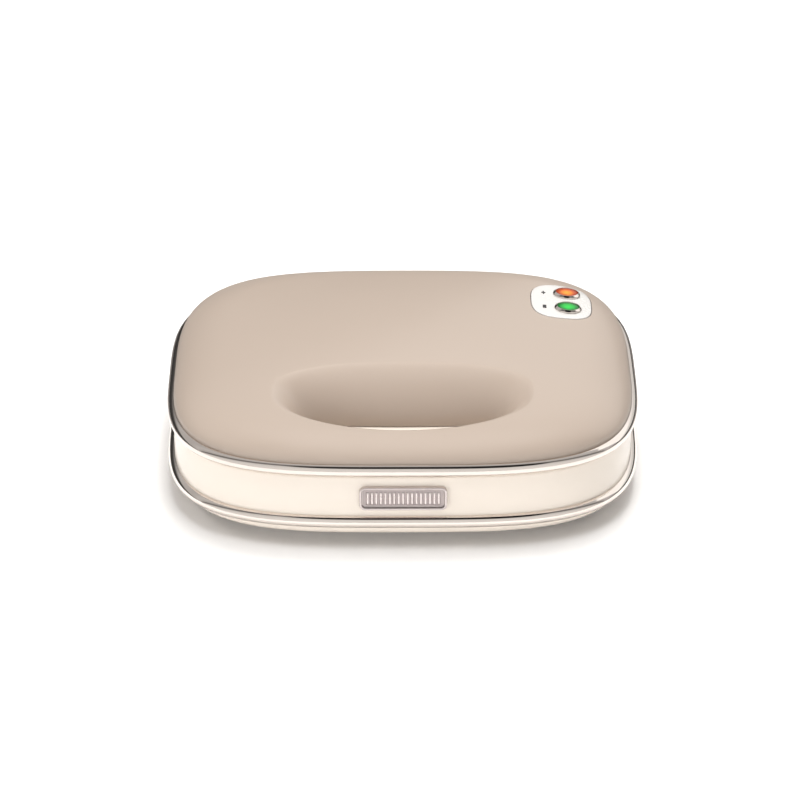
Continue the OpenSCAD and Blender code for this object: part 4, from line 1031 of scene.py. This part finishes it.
for side, hand in ((-1, "left"), (1, "right")):
    x = side * HINGE_X
    arm = piece(f"arm_{hand}", [across(arm_outline, x - ARM_W / 2, x + ARM_W / 2)], taupe,
                [f"hinge_arm_{hand}"], "lid", bevel=0.5, angle=45)
    screw_hole = moved(lathe([(PILOT_R, -1), (PILOT_R, 6)], 32), (x, REAR_SCREW_Y, ARM_BOTTOM - 1))
    cut(arm, [pin_hole(x - 12, x + 12, PIN_R + 0.05), screw_hole], 45)
    pin = moved(turned(lathe(pin_profile, 40), SIDEWAYS), (x - pin_l / 2, HINGE_Y, HINGE_Z))
    piece(f"pin_{hand}", [pin], zinc, [f"hinge_pin_{hand}"], "base")

# %% [markdown]
# ## Screws and the cord bush
# A pan-head screw is a stack of rings. On its crown the rings dip where a cross-shaped mask says so, which
# gives a driver recess without any cutting. The same screw is placed wherever the toaster is screwed.

# %% Cross-head screws
def screw(length, head_r=3.2, head_h=1.8, shank_r=1.6):
    """A screw along +z with its crown at -head_h: crown rings sink by a cross with soft walls."""
    ring = unit_circle(48)
    rings = []
    for r in (0.02, 0.25, 0.42, 0.6, 0.9, 1.3, 1.6, 1.75, 2.1, 2.6):
        p = r * ring
        arm = [smooth((0.55 - np.abs(a)) / 0.22) * smooth((1.8 - np.abs(b)) / 0.3)
               for a, b in (p.T, p.T[::-1])]
        rings.append(at_z(p, -head_h + 0.35 * (r / head_r) ** 2 + 0.85 * np.maximum(*arm)))
    rings += [at_z(r * ring, z) for r, z in ((2.95, -head_h + 0.42), (3.15, -head_h + 0.8), (head_r, -0.3),
                                             (3.15, -0.02), (shank_r, 0.0), (shank_r, length - 0.8),
                                             (shank_r - 0.6, length))]
    return drum(rings)


def screws(name, places, length, up, stands_for, body):
    """One piece with a screw at each place, its shank pointing up or down."""
    one = turned(screw(length), UP if up else DOWN)
    piece(name, [moved(one, p) for p in places], zinc, stands_for, body, angle=40)


REFLECTOR_SCREW_Z, PAN_T = 18.8, 2.0
boss_places = [(sx * BOSS_X, PLATE_Y + sy * BOSS_Y) for sx in (-1, 1) for sy in (-1, 1)]
screws("pan_screws", [(x, y, 11.0) for x, y in cover_screws], 14, True, ["cover_screws"], "base")
screws("cord_clamp_screws", [(side * 8.5, 96.9, CORD_Z + 6.9) for side in (-1, 1)], 20, False,
       ["clamp_screws"], "base")
screws("lower_reflector_screws", [(x, y, LOWER_FACE - REFLECTOR_SCREW_Z) for x, y in boss_places], 5, True,
       ["lower_plate_screws"], "base")
screws("upper_reflector_screws", [(x, y, UPPER_FACE + REFLECTOR_SCREW_Z) for x, y in boss_places], 5, False,
       ["upper_plate_screws"], "lid")
screws("lid_pan_screws", [(x, y, UNDERPAN_Z + PAN_T) for x, y, _ in lid_posts], 5.6, True,
       ["underpan_screws"], "lid")
screws("arm_screws", [(side * HINGE_X, REAR_SCREW_Y, UNDERPAN_Z + PAN_T) for side in (-1, 1)], 7.3, True,
       ["hinge_arm_screws"], "lid")

bush_profile = [(3.5, 3.1), (5.2, 3.1), (6.2, 2.9), (6.8, 2.4), (7.0, 1.7), (7.0, 0.1), (5.4, 0.1),
                (5.4, -2.7), (7.0, -2.7), (7.0, -4.2), (6.6, -4.7), (3.5, -4.7)]
bush = moved(turned(collar(bush_profile, 64), LIE_DOWN), (0, SHELL_B, CORD_Z))
piece("bush", [bush], rubber, ["cord_bush"], "base")

# %% [markdown]
# ## Heaters
# Each plate is heated by a bent tube. The path is worked out first: two straight legs, two quarter bends and
# the front run. A circle is then carried along it, standing square to the path at every point.

# %% Bent heater tubes
def heater_path(half_w, length, bend):
    """Leg, bend, front run, bend, leg: a flat open path with quarter circles at the corners."""
    f = np.radians(np.linspace(0, 90, 13))
    front, back = -length / 2, length / 2 + 6
    left = np.stack([-half_w + bend - bend * np.cos(f), front + bend - bend * np.sin(f)], 1)
    right = np.stack([half_w - bend + bend * np.sin(f), front + bend - bend * np.cos(f)], 1)
    return np.concatenate([[(-half_w, back)], left, right, [(half_w, back)]])


def rod(path, radius, z, count=28):
    """A round rod along a flat path: a circle in the plane of the sideways and upward directions."""
    along = np.gradient(path, axis=0)
    along /= np.linalg.norm(along, axis=1)[:, None]
    sideways = np.column_stack([along[:, 1], -along[:, 0], np.zeros(len(path))])[:, None, :]
    cosine, sine = unit_circle(count).T[:, None, :, None]
    return drum(list(at_z(path, z)[:, None, :] + radius * (cosine * sideways + sine * np.array([0, 0, 1]))))


ELEMENT_X, ELEMENT_Z = 48.0, 14.5
legs = [rod(np.array([(side * ELEMENT_X, 47.5), (side * ELEMENT_X, 56.0)]), 1.07, ELEMENT_Z, 16)
        for side in (-1, 1)]
heater_parts = [rod(heater_path(ELEMENT_X, 84.0, 14.0), 3.2, ELEMENT_Z)] + legs
for body, name, upper in (("base", "lower", False), ("lid", "upper", True)):
    piece(f"{name}_heater_tube", [at_plate(s, upper) for s in heater_parts], heater, [f"{name}_element"],
          body, angle=50)

# %% [markdown]
# ## The underside of the lid
# The underpan is the flat face round the upper plate that shows when the lid is up. It is a sheet between
# the outline and the plate window, with the hand opening cut through it and a sunk collar at each screw.

# %% Underpan
def screw_collar(x, y, top):
    """A sunk sleeve whose floor, PAN_T up, carries the screw head."""
    h = top - UNDERPAN_Z
    profile = [(3.5, 0), (4.8, 0), (4.8, h), (1.8, h), (1.8, PAN_T), (3.5, PAN_T)]
    return moved(collar(profile, 40), (x, y, UNDERPAN_Z))


pan_edge, pan_window = ((5.7, 0), (5.4, 0.3), (5.4, PAN_T)), ((0.5, PAN_T), (0.5, 0.4), (0.8, 0))
underpan_rings = [at_z(seen_from_window(inset), UNDERPAN_Z + z) for inset, z in pan_edge]
underpan_rings += [at_z(window_ring(grow), UNDERPAN_Z + z) for grow, z in pan_window]
underpan = piece("lid_underside", [tube(underpan_rings)], taupe, ["lid_underpan"], "lid")
collars = [(x, y, 42.5) for x, y, _ in lid_posts] + [(side * HINGE_X, REAR_SCREW_Y, 45.9) for side in (-1, 1)]
opening = prism(foot_edge(3.8, bearings(160)), UNDERPAN_Z - 1, UNDERPAN_Z + 4)
well = lathe([(3.55, -1), (3.55, 5)], 40)
cut(underpan, [opening] + [moved(well, (x, y, UNDERPAN_Z)) for x, y, _ in collars])
piece("screw_collars", [screw_collar(*at) for at in collars], taupe, ["lid_underpan"], "lid",
      angle=40)

# %% [markdown]
# ## Pieces that stay as packed
# The flat sheet, switch and wiring pieces inside are already the right shape in the packed model. They keep
# their meshes and only get their finish.

# %% Finishes for the packed pieces
packed_finish = {
    "cord_clamp": dark_plastic, "terminal_block": white_plastic, "lower_reflector": spangle,
    "upper_reflector": spangle, "lower_thermostat": dark_plastic, "upper_thermostat": dark_plastic,
    "power_lamp": lamp_glass, "ready_lamp": lamp_glass, "indicator_board": board_green}
for node, finish in packed_finish.items():
    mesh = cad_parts[node].data
    mesh.materials.clear()
    mesh.materials.append(finish)
print("packed pieces with a finish:", len(packed_finish))

# %% [markdown]
# ## The table
# The toaster stands on a white table: a slab with a diffuse finish, which the camera sees a little lifted, so
# that it runs into the white background without an edge and still keeps the shadow. Polished pieces see
# its far side as a dim grey, which is what draws the dark line along the chrome. A picture of a studio
# floor could do the same, but it would tie the light to one view.

# %% Table top
FLOOR_GLOW, FAR_SIDE = 0.04, (0.24, 0.225, 0.22)


def white_floor():
    """Diffuse white, lifted for the camera; reflections of the table behind the case are dim."""
    top = Finish("table_white", **{"Roughness": 0.9, "Specular IOR Level": 0.0})
    grain = top.noise(300.0, 2.0)
    top.set("Base Color", top.mix(grain, (0.93, 0.93, 0.935), (0.95, 0.95, 0.95)))
    rays = top.node("ShaderNodeLightPath")
    glow = top.node("ShaderNodeEmission", {}, {"Color": (1.0, 1.0, 1.0), "Strength": FLOOR_GLOW})
    dark = top.node("ShaderNodeEmission", {}, {"Color": (0.0, 0.0, 0.0), "Strength": 0.0})
    lift = top.node("ShaderNodeMixShader", {}, {0: rays.outputs["Is Camera Ray"], 1: dark.outputs[0],
                                                 2: glow.outputs[0]})
    both = top.node("ShaderNodeAddShader", {}, {0: top.shader.outputs[0], 1: lift.outputs[0]})
    _, y, _ = top.axes()
    behind = y.band(0.05, 0.15) * Amount(top, rays.outputs["Is Glossy Ray"])
    far_side = top.node("ShaderNodeEmission", {}, {"Color": FAR_SIDE, "Strength": 1.0})
    mirrored = top.node("ShaderNodeMixShader", {}, {0: behind, 1: both.outputs[0], 2: far_side.outputs[0]})
    top.plug(top.output.inputs["Surface"], mirrored.outputs[0])
    return top.material


u, v = np.meshgrid(np.linspace(-1, 1, 33), np.linspace(-1, 1, 33), indexing="ij")
floor_mesh = mesh_of("table_top", [sheet_solid(u * 4000, v * 4000, -0.02, -20.0)])
floor_mesh.materials.append(white_floor())
floor = bpy.data.objects.new("table_top", floor_mesh)
bpy.context.scene.collection.objects.link(floor)
print("table:", [round(length, 2) for length in floor.dimensions], "m")

# %% [markdown]
# ## The room
# The room is a dome of greys worked out from the direction alone, so it needs no walls and no picture of a
# studio. Diffuse surfaces are lit by a strip low in front. Polished ones see other greys: light in front, a
# dark line overhead, middle greys behind and a dark patch high in front, because chrome looks like chrome
# only through what it mirrors. The camera sees plain white, so the light need not bleach the toaster.

# %% Room
PATCH_SIDE, PATCH_UP = 0.10, math.radians(68)
PATCH_OUTER, PATCH_INNER = math.radians(21), math.radians(13)
ROOM_LIGHT = 1.56
world = bpy.data.worlds.new("studio")
room = Nodes(world)
bpy.context.scene.world = world


def dome_ramp(share, stops):
    """Grey levels over the share of the way from the front horizon over the top to the back horizon."""
    node = room.node("ShaderNodeValToRGB", {}, {0: share})
    ramp = node.color_ramp
    ramp.elements[0].position, ramp.elements[1].position = stops[0][0], stops[-1][0]
    for place, _ in stops[1:-1]:
        ramp.elements.new(place)
    for element, (_, level) in zip(ramp.elements, stops):
        element.color = (level, level * 0.98, level * 0.96, 1.0)
    return node.outputs[0]


def backdrop(colour, strength=1.0):
    """A background shader of one colour."""
    return room.node("ShaderNodeBackground", {}, {"Color": colour, "Strength": strength}).outputs[0]


def either(choice, first, second):
    """One shader where the choice is 0 and the other where it is 1."""
    return room.node("ShaderNodeMixShader", {}, {0: choice, 1: first, 2: second}).outputs[0]


direction = room.node("ShaderNodeTexCoord").outputs["Generated"]
split = room.node("ShaderNodeSeparateXYZ", {}, {0: direction})
toward = Amount(room, split.outputs[1]) * -1.0
turn = room.node("ShaderNodeMath", {"operation": "ARCTAN2"}, {0: split.outputs[2], 1: toward})
share = Amount(room, turn.outputs[0]) / math.pi
lit = dome_ramp(share, ((0.0, 1.0), (0.11, 1.0), (0.14, 0.08), (0.4, 0.04), (0.6, 0.05), (0.8, 0.08),
                        (1.0, 0.08)))
seen_in_chrome = dome_ramp(share, (
    (0.0, 0.84), (0.14, 0.80), (0.34, 0.70), (0.42, 0.22), (0.49, 0.14), (0.53, 0.46), (0.64, 0.58),
    (0.72, 0.48), (0.83, 0.52), (0.875, 0.06), (1.0, 0.03)))
near = room.node("ShaderNodeVectorMath", {"operation": "DOT_PRODUCT"}, {
    0: direction, 1: (PATCH_SIDE, -math.cos(PATCH_UP), math.sin(PATCH_UP))})
patch = room.node("ShaderNodeMapRange", {"interpolation_type": "SMOOTHSTEP"}, {
    "Value": near.outputs["Value"], "From Min": math.cos(PATCH_OUTER), "From Max": math.cos(PATCH_INNER),
    "To Min": 1.0, "To Max": 0.04})
patched = room.node("ShaderNodeMix", {"data_type": "RGBA", "blend_type": "MULTIPLY"}, {
    0: 1.0, 6: seen_in_chrome, 7: patch.outputs["Result"]})
rays = room.node("ShaderNodeLightPath")
walls = either(rays.outputs["Is Glossy Ray"], backdrop(lit, ROOM_LIGHT), backdrop(patched.outputs[2]))
sky = either(rays.outputs["Is Camera Ray"], walls, backdrop((1.0, 1.0, 1.0)))
room.node("ShaderNodeOutputWorld", {}, {"Surface": sky})
print("nodes in the room:", len(room.tree.nodes))

# %% [markdown]
# ## The lamps
# Five rectangular soft boxes give the shadows their soft edges: a wide one overhead, a low one at the left, a
# broad one at the back right corner, a small one high at the left and a strip behind. Only the broad one is
# mirrored. Each of the others would leave a bright rectangle on the lacquer, and a smaller lamp would draw
# hard shadows.

# %% Lamps
WARM_WHITE = (1.0, 0.985, 0.965)


def soft_box(name, place, aim_z, width, depth, power, mirrored=False):
    """A rectangular lamp, in metres and watts, turned to a point aim_z above the middle of the table."""
    lamp = bpy.data.lights.new(name, "AREA")
    lamp.shape, lamp.size, lamp.size_y = "RECTANGLE", width, depth
    lamp.energy, lamp.color = power, WARM_WHITE
    obj = bpy.data.objects.new(name, lamp)
    obj.location = place
    obj.rotation_euler = (Vector((0, 0, aim_z)) - Vector(place)).to_track_quat("-Z", "Y").to_euler()
    obj.visible_glossy = mirrored
    bpy.context.scene.collection.objects.link(obj)


soft_box("overhead_box", (0.05, 0.0, 1.3), 0.04, 1.5, 0.5, 17.7)
soft_box("left_box", (-1.2, -0.9, 0.32), 0.03, 0.9, 0.5, 4.2)
soft_box("corner_box", (0.9, 1.15, 0.88), 0.05, 2.2, 1.3, 6.2, mirrored=True)
soft_box("edge_box", (-1.15, -0.05, 1.1), 0.05, 0.45, 0.4, 2.4)
soft_box("strip_box", (0.05, 0.42, 1.3), 0.05, 1.4, 0.45, 7.0)

# %% [markdown]
# ## The camera
# A long lens from a little above the front keeps the two long sides of the case almost parallel. A short
# lens close by would swell the front of the lid. The aim lies inside the case, and REACH is the distance from
# it in metres.

# %% Camera
AZIMUTH, ELEVATION, ROLL = math.radians(-0.148), math.radians(25.228), math.radians(-0.06)
TARGET, REACH, LENS = Vector((-0.00124, -0.00505, 0.028187)), 2.3, 200.46
back = Vector((math.sin(AZIMUTH) * math.cos(ELEVATION), -math.cos(AZIMUTH) * math.cos(ELEVATION),
               math.sin(ELEVATION)))
camera_data = bpy.data.cameras.new("camera")
camera_data.lens, camera_data.sensor_width = LENS, 36.0
camera_data.clip_start, camera_data.clip_end = 0.05, 50.0
camera = bpy.data.objects.new("camera", camera_data)
camera.location = TARGET + back * REACH
camera.rotation_mode = "QUATERNION"
camera.rotation_quaternion = (-back).to_track_quat("-Z", "Y") @ Quaternion((0, 0, 1), ROLL)
bpy.context.scene.collection.objects.link(camera)
bpy.context.scene.camera = camera
bpy.context.scene.view_settings.view_transform = "Standard"
print("camera:", [round(c, 3) for c in camera.location], "m, lens", LENS, "mm")

# %% [markdown]
